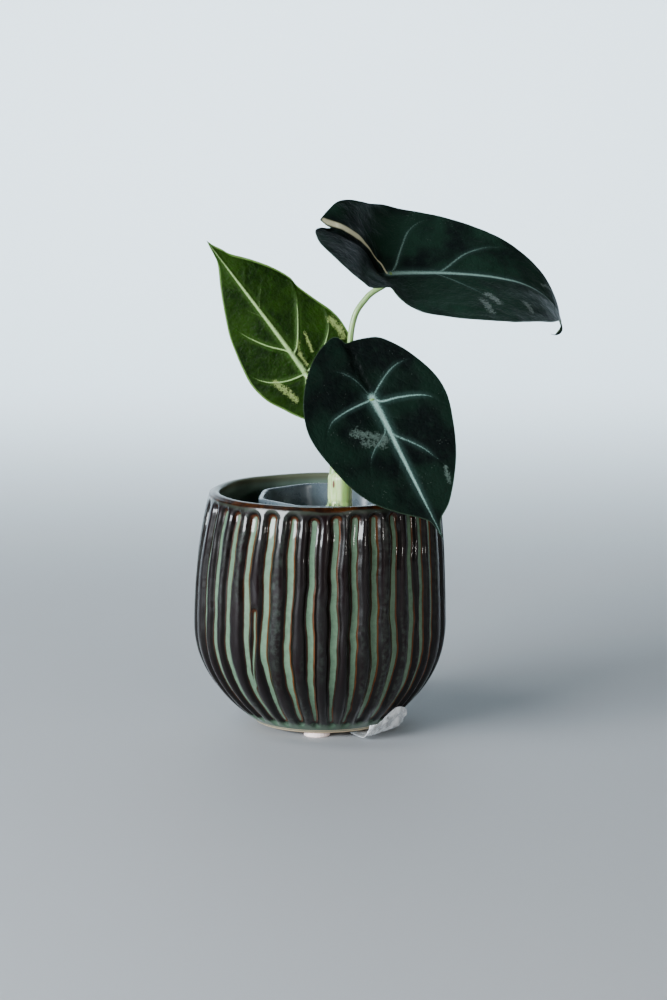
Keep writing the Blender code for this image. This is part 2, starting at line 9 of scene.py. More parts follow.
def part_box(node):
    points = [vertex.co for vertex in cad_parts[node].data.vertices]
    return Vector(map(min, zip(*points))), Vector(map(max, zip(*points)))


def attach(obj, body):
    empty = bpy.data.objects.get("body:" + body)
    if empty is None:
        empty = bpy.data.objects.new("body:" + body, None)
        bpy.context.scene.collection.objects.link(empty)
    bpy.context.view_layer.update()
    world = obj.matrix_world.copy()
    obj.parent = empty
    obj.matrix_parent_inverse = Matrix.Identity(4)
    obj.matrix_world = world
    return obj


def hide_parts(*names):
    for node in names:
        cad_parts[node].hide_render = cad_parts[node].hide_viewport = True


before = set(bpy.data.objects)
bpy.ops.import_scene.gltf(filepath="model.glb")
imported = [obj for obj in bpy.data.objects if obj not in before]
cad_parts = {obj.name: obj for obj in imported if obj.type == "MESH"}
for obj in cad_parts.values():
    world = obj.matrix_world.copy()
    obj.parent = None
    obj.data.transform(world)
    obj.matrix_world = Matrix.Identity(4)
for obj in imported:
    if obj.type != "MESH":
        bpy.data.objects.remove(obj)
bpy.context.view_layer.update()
potLow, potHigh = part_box("cachepot")
plantAxis = np.array([(potLow.x + potHigh.x) / 2, (potLow.y + potHigh.y) / 2, 0.0])
dice = np.random.default_rng(11)
print("frame loaded")


# small helpers

def smoothStep(low, high, value):
    share = np.clip((value - low) / (high - low), 0.0, 1.0)
    return share * share * (3.0 - 2.0 * share)


def flowing(points, count):
    # a rounded path through the points, evenly stepped
    spots = np.array(points, float)
    padded = np.vstack([2 * spots[0] - spots[1], spots, 2 * spots[-1] - spots[-2]])
    path = []
    for i in range(1, len(padded) - 2):
        a, b, c, d = padded[i - 1:i + 3]
        for t in np.linspace(0, 1, 24, endpoint=False):
            path.append(0.5 * (2 * b + (c - a) * t + (2 * a - 5 * b + 4 * c - d) * t * t
                               + (3 * b - a - 3 * c + d) * t ** 3))
    path = np.array(path + [spots[-1]])
    run = np.concatenate([[0], np.cumsum(np.linalg.norm(np.diff(path, axis=0), axis=1))])
    wanted = np.linspace(0, run[-1], count)
    return np.stack([np.interp(wanted, run, path[:, k]) for k in range(path.shape[1])], 1)


def waves(points, scale, seed=0.0):
    # smooth noise at each point, about -1 to 1
    shift = Vector((seed, seed * 1.7, -seed))
    return np.array([noise.noise(Vector(p) * scale + shift) for p in np.asarray(points, float)])


def gridFaces(rows, columns, closed=True, start=0):
    r = np.arange(rows - 1)[:, None]
    c = np.arange(columns if closed else columns - 1)[None, :]
    after = (c + 1) % columns
    a = start + r * columns + c
    b = start + r * columns + after
    return np.stack([a, b, b + columns, a + columns], -1).reshape(-1, 4)


def makeMesh(name, points, faces, attributes=None, materials=(), faceSlots=None):
    mesh = bpy.data.meshes.new(name)
    mesh.from_pydata(np.asarray(points, float).tolist(), [], [tuple(f) for f in faces])
    for label, values in (attributes or {}).items():
        values = np.asarray(values, float)
        if values.ndim == 2:
            layer = mesh.attributes.new(label, "FLOAT_VECTOR", "POINT")
            layer.data.foreach_set("vector", values.astype(np.float32).ravel())
        else:
            layer = mesh.attributes.new(label, "FLOAT", "POINT")
            layer.data.foreach_set("value", values.astype(np.float32))
    for material in materials:
        mesh.materials.append(material)
    if faceSlots is not None:
        mesh.polygons.foreach_set("material_index", np.asarray(faceSlots, np.int32))
    mesh.polygons.foreach_set("use_smooth", np.ones(len(mesh.polygons), bool))
    mesh.update()
    piece = bpy.data.objects.new(name, mesh)
    bpy.context.scene.collection.objects.link(piece)
    return piece


def place(piece, node):
    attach(piece, "root")
    if node:
        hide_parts(node)
    return piece


class Paint:
    # a node material with short ways to add the usual nodes
    def __init__(self, name, **sockets):
        self.material = bpy.data.materials.new(name)
        self.material.use_nodes = True
        self.tree = self.material.node_tree
        self.shader = self.tree.nodes["Principled BSDF"]
        for label, value in sockets.items():
            self.set(label.replace("_", " "), value)

    def fill(self, socket, value):
        if isinstance(value, bpy.types.NodeSocket):
            self.tree.links.new(value, socket)
        elif isinstance(value, tuple) and len(value) == 3 and socket.type == "RGBA":
            socket.default_value = (*value, 1.0)
        else:
            socket.default_value = value

    def set(self, label, value):
        self.fill(self.shader.inputs[label], value)

    def node(self, kind, **inputs):
        node = self.tree.nodes.new("ShaderNode" + kind)
        for label, value in inputs.items():
            self.fill(node.inputs[label], value)
        return node

    def attribute(self, name, output="Fac"):
        node = self.node("Attribute")
        node.attribute_name = name
        return node.outputs[output]

    def place(self):
        return self.node("TexCoord").outputs["Object"]

    def speckle(self, vector, scale, detail=3.0, rough=0.55, warp=0.0):
        return self.node("TexNoise", Vector=vector, Scale=scale, Detail=detail, Roughness=rough,
                         Distortion=warp).outputs["Fac"]

    def cells(self, vector, scale, feature="F1"):
        node = self.node("TexVoronoi", Vector=vector, Scale=scale)
        node.feature = feature
        return node.outputs["Distance"]

    def stretch(self, vector, scale):
        return self.node("Mapping", Vector=vector, Scale=scale).outputs["Vector"]

    def range(self, value, low, high, toLow=0.0, toHigh=1.0):
        node = self.node("MapRange")
        node.interpolation_type = "SMOOTHSTEP"
        for index, item in enumerate((value, low, high, toLow, toHigh)):
            self.fill(node.inputs[index], item)
        return node.outputs["Result"]

    def sum(self, operation, a, b=0.5, c=0.0):
        node = self.node("Math")
        node.operation = operation
        for index, item in enumerate((a, b, c)):
            self.fill(node.inputs[index], item)
        return node.outputs[0]

    def times(self, a, b):
        return self.sum("MULTIPLY", a, b)

    def mix(self, share, a, b):
        node = self.node("Mix")
        node.data_type = "RGBA"
        for index, item in ((0, share), (6, a), (7, b)):
            self.fill(node.inputs[index], item)
        return node.outputs[2]

    def relief(self, height, strength, distance, after=None):
        node = self.node("Bump", Strength=strength, Distance=distance, Height=height)
        if after is not None:
            self.fill(node.inputs["Normal"], after)
        return node.outputs["Normal"]


# cachepot: sizes in metres, colours

pot = {
    "height": 0.106, "bellyRadius": 0.0554, "bellyHeight": 0.047, "rimRadius": 0.0499, "footRadius": 0.0315,
    "footHeight": 0.0025, "wall": 0.0038, "floor": 0.0090, "lean": 0.0020,
    "grooveDepth": 0.00095, "grooveShare": 0.250, "flank": 0.00085, "crown": 0.00080, "hollow": 0.00050,
    "celadon": (0.084, 0.140, 0.087), "shade": (0.0020, 0.0010, 0.0006), "ridge": (0.0046, 0.0032, 0.0033),
    "plum": (0.0045, 0.0013, 0.0018), "amber": (0.070, 0.020, 0.002), "inside": (0.105, 0.150, 0.118),
    "clay": (0.60, 0.48, 0.32), "lip": (0.034, 0.010, 0.0015), "darkLip": (0.006, 0.002, 0.001),
    "dimCeladon": (0.058, 0.100, 0.064), "paleCeladon": (0.110, 0.165, 0.108), "haze": (0.026, 0.033, 0.027),
    "archBrown": (0.036, 0.009, 0.0015), "rimTone": (0.022, 0.027, 0.019), "footTone": (0.050, 0.085, 0.056),
    "dimInside": (0.066, 0.098, 0.078), "insideRim": (0.060, 0.060, 0.034),
}
# middles of the grooves at the front, degrees, and then evenly round the back
frontGrooves = [-77.8, -66.0, -56.5, -46.9, -36.0, -25.8, -14.6, -4.4, 6.1, 15.9, 25.7, 36.4, 46.7, 54.5,
                63.5, 75.4]
backStep = (360.0 - frontGrooves[-1] + frontGrooves[0]) / 20
backGrooves = [frontGrooves[-1] + backStep * (k + 1) + dice.uniform(-0.8, 0.8) for k in range(19)]
grooveCount = len(frontGrooves) + len(backGrooves)


def bezier(a, b, c, d, count):
    t = np.linspace(0, 1, count)[:, None]
    a, b, c, d = (np.array(p) for p in (a, b, c, d))
    return a * (1 - t) ** 3 + 3 * b * t * (1 - t) ** 2 + 3 * c * t * t * (1 - t) + d * t ** 3


def potWall():
    # radius against height of the outside
    p = pot
    belly = (p["bellyRadius"], p["bellyHeight"])
    upper = bezier((p["rimRadius"] + 0.0003, p["height"] - 0.0012),
                   (p["rimRadius"] + 0.0037, p["height"] * 0.83),
                   (p["bellyRadius"], p["height"] * 0.63), belly, 80)
    lower = bezier(belly, (p["bellyRadius"], p["height"] * 0.255),
                   (p["footRadius"] + 0.0125, p["height"] * 0.13),
                   (p["footRadius"], p["footHeight"] + 0.0015), 80)
    return np.vstack([upper, lower[1:]])


wallLine = potWall()


def wallRadius(height):
    return np.interp(height, wallLine[::-1, 1], wallLine[::-1, 0])


def makeCachepot():
    p = pot
    tall, wall, floor, foot, base = (p[k] for k in ("height", "wall", "floor", "footRadius", "footHeight"))
    columns = grooveCount * 20
    around = np.linspace(0, 360, columns, endpoint=False)
    # rows from the floor's middle, up the inside, over the rim, down the outside and under the foot
    heightsDown = np.concatenate([np.linspace(tall - 0.0012, tall - 0.012, 26),
                                  np.linspace(tall - 0.0128, 0.020, 66),
                                  np.linspace(0.0190, base + 0.0015, 30)])
    outside = np.stack([wallRadius(heightsDown), heightsDown], 1)
    heightsUp = np.linspace(floor + 0.006, tall - 0.0030, 26)
    inside = np.stack([wallRadius(heightsUp) - wall, heightsUp], 1)
    rimOut = outside[0]
    rimIn = np.array([p["rimRadius"] - wall + 0.0004, tall - 0.0016])
    middle, half = (rimOut + rimIn) / 2, (rimOut[0] - rimIn[0]) / 2
    arc = [[middle[0] - half * math.cos(t), middle[1] + 0.00135 * math.sin(t)]
           for t in np.linspace(0, math.pi, 11)[1:-1]]
    floorRow = [[0.0004, floor], [0.012, floor], [0.024, floor + 0.0002],
                [inside[0][0] - 0.006, floor + 0.0010],
                [inside[0][0] - 0.0025, floor + 0.0030]]
    under = [[foot - 0.0003, base + 0.0006], [foot - 0.0010, base], [foot - 0.0090, base],
             [foot - 0.0100, base + 0.0015], [0.0004, base + 0.0015]]
    profile = np.vstack([floorRow, inside, [rimIn], arc, outside, under])
    firstOut = len(floorRow) + len(inside) + 1 + len(arc)
    lastOut = firstOut + len(outside)
    rows = len(profile)
    radius = np.repeat(profile[:, 0][:, None], columns, 1)
    height = np.repeat(profile[:, 1][:, None], columns, 1)
    angle = np.repeat(around[None, :], rows, 0)
    out = np.zeros((rows, columns), bool)
    out[firstOut:lastOut] = True

    # distance to the nearest groove's middle line, as arc length, with rounded upper ends
    distance = np.full((rows, columns), 1.0)
    side = np.zeros((rows, columns))
    arch = np.zeros((rows, columns))
    grooves = [(a, 0.1025 - dice.uniform(0, 0.0012), 0.0085 - dice.uniform(0, 0.0015), 1.0)
               for a in frontGrooves + backGrooves]
    grooves.append((-31.0, 0.0620, 0.0240, 0.62))          # a short one that runs into its neighbour
    heights = profile[:, 1]
    pitch = 2 * math.pi * profile[:, 0] / grooveCount
    for index, (middle, top, bottom, size) in enumerate(grooves):
        wander = np.array([noise.noise(Vector((index * 3.1, z * 62.0, 0.3))) * 1.15
                           + noise.noise(Vector((index * 5.3, z * 170.0, 4.0))) * 0.42 for z in heights])
        if size < 1.0:
            wander = wander * 0.3 - smoothStep(0.050, 0.022, heights) * 3.4
        line = middle + wander
        half = pitch * p["grooveShare"] * size * (1 + 0.14 * np.array(
            [noise.noise(Vector((index * 2.7, z * 45.0, 9.0))) for z in heights]))
        off = (angle - line[:, None] + 180.0) % 360.0 - 180.0
        arcOff = np.radians(off) * radius
        over = np.maximum(0.0, height - (top - 0.0022)) + np.maximum(0.0, (bottom + 0.002) - height) * 0.55
        reach = np.hypot(arcOff, over) - half[:, None]
        better = reach < distance
        side = np.where(better, smoothStep(-2.0, 2.0, off), side)
        arch = np.where(better, smoothStep(top - 0.0050, top - 0.0010, height), arch)
        distance = np.where(better, reach, distance)
    groove = (1.0 - smoothStep(-p["flank"], p["flank"], distance)) * out
    crown = np.sin(np.clip(distance / (pitch[:, None] * (0.5 - p["grooveShare"])), 0, 1) * math.pi / 2) * out
    hollow = (1.0 - (1.0 - np.clip(-distance / (pitch[:, None] * p["grooveShare"]), 0, 1)) ** 2) * out
    radius = radius - groove * p["grooveDepth"] - hollow * p["hollow"] + crown * p["crown"]

    turn = np.radians(angle)
    lean = p["lean"] * ((height - p["bellyHeight"]) / 0.057) ** 2
    points = np.stack([radius * np.sin(turn) + lean, -radius * np.cos(turn), height], -1).reshape(-1, 3)
    rough = waves(points, 38.0, 2.0) * 0.00028 + waves(points, 11.0, 5.0) * 0.00035
    flat = points * (1, 1, 0)
    away = flat / np.maximum(np.linalg.norm(flat, axis=1, keepdims=True), 1e-6)
    bodyMask = smoothStep(0.004, 0.012, points[:, 2]) * (radius.reshape(-1) > 0.03)
    points = points + away * (rough * bodyMask)[:, None]
    rimWave = waves(np.stack([np.sin(turn), np.cos(turn), turn * 0], -1).reshape(-1, 3), 1.6, 3.0)
    points[:, 2] += rimWave * 0.00045 * smoothStep(0.085, 0.106, points[:, 2])

    zone = np.zeros((rows, columns))
    zone[:firstOut - len(arc)] = 1.0                       # inside
    zone[lastOut:] = 2.0                                   # bare foot
    outer = np.zeros((rows, columns))
    outer[firstOut - len(arc):firstOut] = smoothStep(0.35, 0.75, np.linspace(0, 1, len(arc)))[:, None]
    outer[firstOut:] = 1.0
    attributes = {
        "outer": outer, "edge": distance * 1000.0, "flankSide": side, "zone": zone, "high": height * 1000.0,
        "arch": arch,
    }
    attributes = {k: np.asarray(v).reshape(-1) for k, v in attributes.items()}
    return makeMesh("cachepot_glazed", points + plantAxis, gridFaces(rows, columns)[:, ::-1], attributes,
                    [potPaint()])


def potPaint():
    p = pot
    paint = Paint("celadon_over_dark_clay", Roughness=0.30, Specular_IOR_Level=0.10,
                  Coat_Weight=1.0, Coat_Roughness=0.03, Coat_IOR=1.25)
    spot = paint.place()
    edge = paint.attribute("edge")
    high = paint.attribute("high")
    zone = paint.attribute("zone")
    streaks = paint.speckle(paint.stretch(spot, (1.0, 1.0, 0.16)), 190.0, 4.0, 0.6)
    mottle = paint.speckle(spot, 420.0, 4.0, 0.65)
    clouds = paint.speckle(paint.stretch(spot, (1.0, 1.0, 0.4)), 55.0, 3.0, 0.5)
    runs = paint.speckle(paint.stretch(spot, (1.0, 1.0, 0.22)), 75.0, 3.0, 0.5)
    edgeNoise = paint.sum("ADD", edge, paint.range(streaks, 0.2, 0.8, -0.30, 0.30))
    green = paint.mix(paint.range(mottle, 0.35, 0.75), p["celadon"], p["dimCeladon"])
    green = paint.mix(paint.range(clouds, 0.45, 0.8, 0.0, 0.55), green, p["paleCeladon"])
    crest = paint.mix(paint.range(clouds, 0.40, 0.66), p["ridge"], p["plum"])
    haze = paint.times(paint.range(mottle, 0.36, 0.70), paint.range(runs, 0.46, 0.66, 0.0, 0.85))
    crest = paint.mix(haze, crest, p["haze"])
    body = paint.mix(paint.range(edgeNoise, -1.45, -1.00), green, p["shade"])
    line = paint.times(paint.range(edgeNoise, -1.30, -1.02), paint.range(edgeNoise, -0.40, -0.75))
    line = paint.times(line, paint.range(paint.attribute("flankSide"), 0.45, 0.75, 0.30, 1.0))
    line = paint.times(line, paint.range(runs, 0.36, 0.56, 0.15, 1.0))
    body = paint.mix(line, body, p["amber"])
    top = paint.times(paint.attribute("arch"), paint.range(edgeNoise, -1.9, -1.0))
    top = paint.times(top, paint.range(mottle, 0.35, 0.60))
    body = paint.mix(paint.times(top, paint.range(edgeNoise, 0.3, -0.3)), body, p["archBrown"])
    body = paint.mix(paint.range(edgeNoise, 0.20, 0.95), body, crest)
    rimBand = paint.range(high, 102.2, 104.0)
    body = paint.mix(paint.times(rimBand, 0.7), body, p["rimTone"])
    lip = paint.range(paint.sum("ADD", high, paint.range(clouds, 0.3, 0.7, -0.5, 0.5)), 103.9, 104.6)
    lip = paint.times(lip, paint.attribute("outer"))
    lipTone = paint.mix(paint.range(streaks, 0.30, 0.6), p["lip"], p["darkLip"])
    body = paint.mix(lip, body, lipTone)
    footBand = paint.range(paint.sum("ADD", high, paint.range(mottle, 0.3, 0.7, -0.8, 0.8)), 8.6, 6.2)
    body = paint.mix(footBand, body, p["footTone"])
    bare = paint.range(high, 4.3, 3.9)
    body = paint.mix(bare, body, p["clay"])
    inner = paint.mix(paint.range(clouds, 0.3, 0.7), p["inside"], p["dimInside"])
    inner = paint.mix(paint.range(high, 101.5, 104.5, 0.0, 0.8), inner, p["insideRim"])
    isInside = paint.range(paint.sum("ABSOLUTE", paint.sum("SUBTRACT", zone, 1.0)), 0.6, 0.4)
    isInside = paint.sum("MAXIMUM", isInside, paint.range(paint.attribute("outer"), 0.6, 0.2))
    body = paint.mix(isInside, body, inner)
    isFoot = paint.range(zone, 1.5, 1.6)
    body = paint.mix(isFoot, body, p["clay"])
    paint.set("Base Color", body)
    dull = paint.sum("MAXIMUM", isFoot, bare)
    thinned = paint.times(paint.range(high, 103.4, 104.6), 0.75)
    paint.set("Coat Weight", paint.range(paint.sum("MAXIMUM", dull, thinned), 0.0, 1.0, 1.0, 0.0))
    paint.set("Roughness", paint.range(dull, 0.0, 1.0, 0.30, 0.85))
    ripple = paint.speckle(spot, 120.0, 2.0, 0.5)
    first = paint.relief(ripple, 0.22, 0.0006)
    second = paint.relief(mottle, 0.10, 0.0003, first)
    paint.set("Normal", second)
    paint.set("Coat Normal", paint.relief(ripple, 0.10, 0.0006))
    return paint.material


place(makeCachepot(), "cachepot")
print("cachepot made")


# pads under the foot, kept from the frame

def padPaint():
    paint = Paint("pale_pad", Roughness=0.55)
    spot = paint.place()
    grain = paint.speckle(spot, 900.0, 4.0)
    paint.set("Base Color", paint.mix(grain, (0.80, 0.66, 0.62), (0.66, 0.54, 0.50)))
    paint.set("Normal", paint.relief(grain, 0.15, 0.0003))
    return paint.material


padMaterial = padPaint()
for padName in ("foot_pad_front", "foot_pad_back_right", "foot_pad_back_left"):
    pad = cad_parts[padName]
    pad.data.materials.clear()
    pad.data.materials.append(padMaterial)
    soften = pad.modifiers.new("soft edge", "BEVEL")
    soften.width = 0.0003
    soften.segments = 3
    pad.data.polygons.foreach_set("use_smooth", np.zeros(len(pad.data.polygons), bool))


# loose clear film at the foot

film = {"middle": -45.0, "arc": 34.0, "rise": 0.0135, "spread": 0.0125, "thickness": 0.00016,
        "crease": 0.0011}


def makeFilm():
    f = film
    columns, rows = 54, 36
    middleZ = 0.00125
    path = flowing([(pot["footRadius"] - 0.003, middleZ), (pot["footRadius"], middleZ),
                    (pot["footRadius"] + f["spread"] * 0.45, middleZ + 0.0006),
                    (pot["footRadius"] + f["spread"] * 0.80, f["rise"] * 0.42),
                    (pot["footRadius"] + f["spread"], f["rise"])], rows)
    sheet = []
    for i in range(rows):
        for j in range(columns):
            across = j / (columns - 1)
            along = i / (rows - 1)
            angle = math.radians(f["middle"] + f["arc"] * (across - 0.5) * (1.0 - 0.10 * along))
            r, z = path[i]
            torn = 1.0 - 0.42 * smoothStep(0.0, 1.0, abs(across - 0.72) * 1.5) * (z > middleZ)
            crease = abs(noise.noise(Vector((across * 3.1, along * 2.3, 1.0)))) * 2.0
            crease += abs(noise.noise(Vector((across * 7.0, along * 6.0, 5.0)))) * 0.8
            r = r + (0.8 - crease) * f["crease"] * smoothStep(0.15, 0.5, along)
            sheet.append((r * math.cos(angle), r * math.sin(angle), max(middleZ, z * torn)))
    piece = makeMesh("clear_film", np.array(sheet) + plantAxis, gridFaces(rows, columns, False), None,
                     [filmPaint()])
    skin = piece.modifiers.new("thickness", "SOLIDIFY")
    skin.thickness = f["thickness"]
    skin.offset = 0.0
    return piece


def filmPaint():
    paint = Paint("clear_film", Roughness=0.12, Alpha=0.40, Coat_Weight=1.0, Coat_Roughness=0.05)
    spot = paint.place()
    fold = paint.speckle(spot, 150.0, 3.0, 0.5, 0.8)
    paint.set("Alpha", paint.range(fold, 0.35, 0.65, 0.30, 0.75))
    paint.set("Base Color", paint.mix(paint.range(fold, 0.35, 0.7), (0.80, 0.84, 0.87), (0.95, 0.97, 1.0)))
    paint.set("Coat Normal", paint.relief(fold, 0.6, 0.0010))
    paint.set("Normal", paint.relief(fold, 0.4, 0.0010))
    return paint.material


place(makeFilm(), "base_film_tab")
print("film made")


# grower's pot

grower = {
    "x": 0.0064, "y": 0.0031, "turn": 19.0, "topRadius": 0.0338, "footRadius": 0.0220, "wall": 0.0009,
    "lip": 0.0014, "lipHeight": 0.0028, "bottom": 0.0093, "top": 0.1030, "cornerPower": 26.0,
    "grey": (0.075, 0.098, 0.112), "dark": (0.044, 0.060, 0.072),
}


def eightSided(degrees):
    # corner radius share by direction, with rounded corners
    total = 0.0
    for k in range(4):
        side = math.radians(22.5 + 45.0 * k)
        total = total + np.abs(np.cos(np.radians(degrees) - side)) ** grower["cornerPower"]
    return math.cos(math.pi / 8) * 1.018 * total ** (-1.0 / grower["cornerPower"])


def makeGrower():
    g = grower
    columns = 320
    wide, foot, wall, lip, top, bottom = (
        g[k] for k in ("topRadius", "footRadius", "wall", "lip", "top", "bottom"))
    under = top - g["lipHeight"]
    profile = [(0.0003, bottom + wall), (0.012, bottom + wall), (foot - 0.0022, bottom + wall),
               (foot - 0.0012, bottom + 0.0018)]
    profile += [(foot - wall + (wide - foot) * t, bottom + 0.003 + (under - bottom - 0.003) * t)
                for t in np.linspace(0, 1, 16)]
    profile += [(wide - wall + 0.0001, top - 0.0008), (wide - 0.0005, top - 0.0001), (wide, top),
                (wide + lip - 0.0006, top), (wide + lip - 0.0001, top - 0.0003), (wide + lip, top - 0.0008),
                (wide + lip, under + 0.0003), (wide + lip - 0.0003, under), (wide + 0.0001, under - 0.0002)]
    profile += [(wide - (wide - foot) * t, under - 0.0006 - (under - 0.0006 - bottom - 0.0012) * t)
                for t in np.linspace(0.01, 1, 16)]
    profile += [(foot - 0.0004, bottom + 0.0003), (foot - 0.0012, bottom), (0.0003, bottom)]
    profile = np.array(profile)
    around = np.linspace(0, 360, columns, endpoint=False)
    share = eightSided(around)
    radius = profile[:, 0][:, None] * share[None, :]
    turn = np.radians(around + g["turn"])[None, :]
    points = np.stack([radius * np.cos(turn) + g["x"], radius * np.sin(turn) + g["y"],
                       np.repeat(profile[:, 1][:, None], columns, 1)], -1).reshape(-1, 3)
    faces = gridFaces(len(profile), columns)
    return makeMesh("grower_pot_moulded", points + plantAxis, faces[:, ::-1], None, [growerPaint()])


def growerPaint():
    paint = Paint("grey_plastic", Roughness=0.28, Specular_IOR_Level=0.5)
    spot = paint.place()
    dust = paint.speckle(spot, 130.0, 4.0, 0.6)
    smear = paint.speckle(paint.stretch(spot, (1, 1, 0.25)), 60.0, 3.0)
    paint.set("Base Color", paint.mix(paint.range(smear, 0.35, 0.7), grower["grey"], grower["dark"]))
    paint.set("Roughness", paint.range(dust, 0.3, 0.7, 0.20, 0.40))
    paint.set("Normal", paint.relief(dust, 0.12, 0.0004))
    return paint.material


place(makeGrower(), "grower_pot")
print("grower's pot made")


# potting mix: an uneven bed with bark, grit and fibres on it

mixBed = {"edge": 0.0880, "mound": 0.0030, "bark": 620, "grit": 150, "fibres": 70}


def makeMix():
    b, g = mixBed, grower
    centre = np.array([g["x"], g["y"], 0.0])
    columns, rows = 160, 60
    around = np.linspace(0, 360, columns, endpoint=False)
    share = eightSided(around)
    turn = np.radians(around + g["turn"])
    topRadius = g["topRadius"] - g["wall"] * 1.6 - 0.0016
    points = []
    for t in np.linspace(0.01, 1, rows):
        for c in range(columns):
            r = topRadius * t * share[c] * 0.985
            x, y = r * math.cos(turn[c]), r * math.sin(turn[c])
            rough = noise.noise(Vector((x, y, 0.0)) * 260) * 0.0011
            rough += noise.noise(Vector((x, y, 3.0)) * 90) * 0.0009
            z = b["edge"] + b["mound"] * (1 - t * t) + rough * (1.0 if t < 0.97 else 0.3)
            points.append((x, y, z))
    for z in (0.060, 0.030, 0.0110):
        lower = g["footRadius"] + (g["topRadius"] - g["footRadius"]) * (z - g["bottom"]) / 0.091
        lower -= g["wall"] * 1.6 + 0.0006
        for c in range(columns):
            points.append((lower * share[c] * math.cos(turn[c]), lower * share[c] * math.sin(turn[c]), z))
    faces = [tuple(f) for f in gridFaces(rows + 3, columns)]
    tone = list(waves(points, 300.0, 1.0) * 0.5 + 0.5)
    kind = [0.0] * len(points)
    ball = unitBall()

    def strew(shape, shapeFaces, shade, sort):
        faces.extend(tuple(f) for f in (shapeFaces + len(points)))
        points.extend(shape.tolist())
        tone.extend([shade] * len(shape))
        kind.extend([sort] * len(shape))

    for k in range(b["bark"] + b["grit"]):
        isGrit = k >= b["bark"]
        reach = (topRadius - 0.003) * math.sqrt(dice.uniform(0.01, 1)) * 0.96
        angle = dice.uniform(0, 2 * math.pi)
        x, y = reach * math.cos(angle), reach * math.sin(angle)
        t = reach / topRadius
        size = dice.uniform(0.0007, 0.0015) if isGrit else dice.uniform(0.0010, 0.0026)
        shape = ball[0] * np.array([1.0, dice.uniform(0.5, 1.0), dice.uniform(0.3, 0.7)])
        shape = shape * (1 + 0.35 * waves(ball[0], 1.7, k * 1.3))[:, None]
        spin = turned(dice.uniform(0, 6.3), dice.uniform(-0.7, 0.7))
        spot = np.array([x, y, b["edge"] + b["mound"] * (1 - t * t) + size * 0.15])
        strew(shape * size @ spin.T + spot, ball[1], dice.uniform(0, 1), 1.0 if isGrit else 0.5)
    for k in range(b["fibres"]):
        reach, angle = topRadius * 0.8 * math.sqrt(dice.uniform(0, 1)), dice.uniform(0, 6.3)
        x, y = reach * math.cos(angle), reach * math.sin(angle)
        z = b["edge"] + b["mound"] * (1 - (reach / topRadius) ** 2) + 0.0012
        heading, length = dice.uniform(0, 6.3), dice.uniform(0.004, 0.011)
        run = [(x + math.cos(heading + s * 0.5) * length * s, y + math.sin(heading + s * 0.5) * length * s,
                z + 0.0008 * math.sin(s * 3.0)) for s in np.linspace(0, 1, 4)]
        strew(*tube(flowing(run, 9), np.full(9, 0.00013), 5), 0.9, 0.5)
    return makeMesh("potting_mix_bed", np.array(points) + centre + plantAxis, faces,
                    {"tone": tone, "kind": kind}, [mixPaint()])


def unitBall():
    shape = bmesh.new()
    bmesh.ops.create_icosphere(shape, subdivisions=2, radius=1.0)
    points = np.array([v.co for v in shape.verts])
    faces = np.array([[v.index for v in f.verts] for f in shape.faces])
    shape.free()
    return points, faces


def turned(spin, tilt):
    a, b = math.cos(spin), math.sin(spin)
    c, d = math.cos(tilt), math.sin(tilt)
    return np.array([[a, -b, 0], [b, a, 0], [0, 0, 1]]) @ np.array([[1, 0, 0], [0, c, -d], [0, d, c]])


def tube(path, radii, sides):
    # ring by ring round a path, without twist; the ends are left open
    path = np.asarray(path, float)
    heading = np.gradient(path, axis=0)
    heading /= np.linalg.norm(heading, axis=1, keepdims=True)
    across = np.cross(heading[0], [0.31, 0.77, 0.56])
    points = []
    for k in range(len(path)):
        across = across - heading[k] * (across @ heading[k])
        across /= np.linalg.norm(across)
        other = np.cross(heading[k], across)
        for s in range(sides):
            a = 2 * math.pi * s / sides
            points.append(path[k] + (across * math.cos(a) + other * math.sin(a)) * radii[k])
    points = np.array(points)
    return points, gridFaces(len(path), sides)


def mixPaint():
    paint = Paint("potting_mix", Roughness=0.9)
    spot = paint.place()
    tone = paint.attribute("tone")
    kind = paint.attribute("kind")
    grain = paint.speckle(spot, 1500.0, 4.0, 0.65)
    soil = paint.mix(tone, (0.020, 0.012, 0.008), (0.085, 0.045, 0.024))
    soil = paint.mix(paint.range(grain, 0.45, 0.75), soil, (0.13, 0.08, 0.045))
    paint.set("Base Color", paint.mix(paint.range(kind, 0.7, 0.8), soil, (0.62, 0.60, 0.55)))
    paint.set("Normal", paint.relief(grain, 0.6, 0.0006))
    return paint.material


place(makeMix(), "growing_medium")
print("mix made")


# stem with its scars, and the dry sheath round it

stem = {
    "x": 0.0092, "y": 0.0026, "top": 0.1130, "radius": 0.0054, "bottom": 0.0700,
    "green": (0.28, 0.42, 0.13), "pale": (0.46, 0.58, 0.28), "stripe": (0.20, 0.36, 0.08),
    "scar": (0.10, 0.035, 0.015),
}


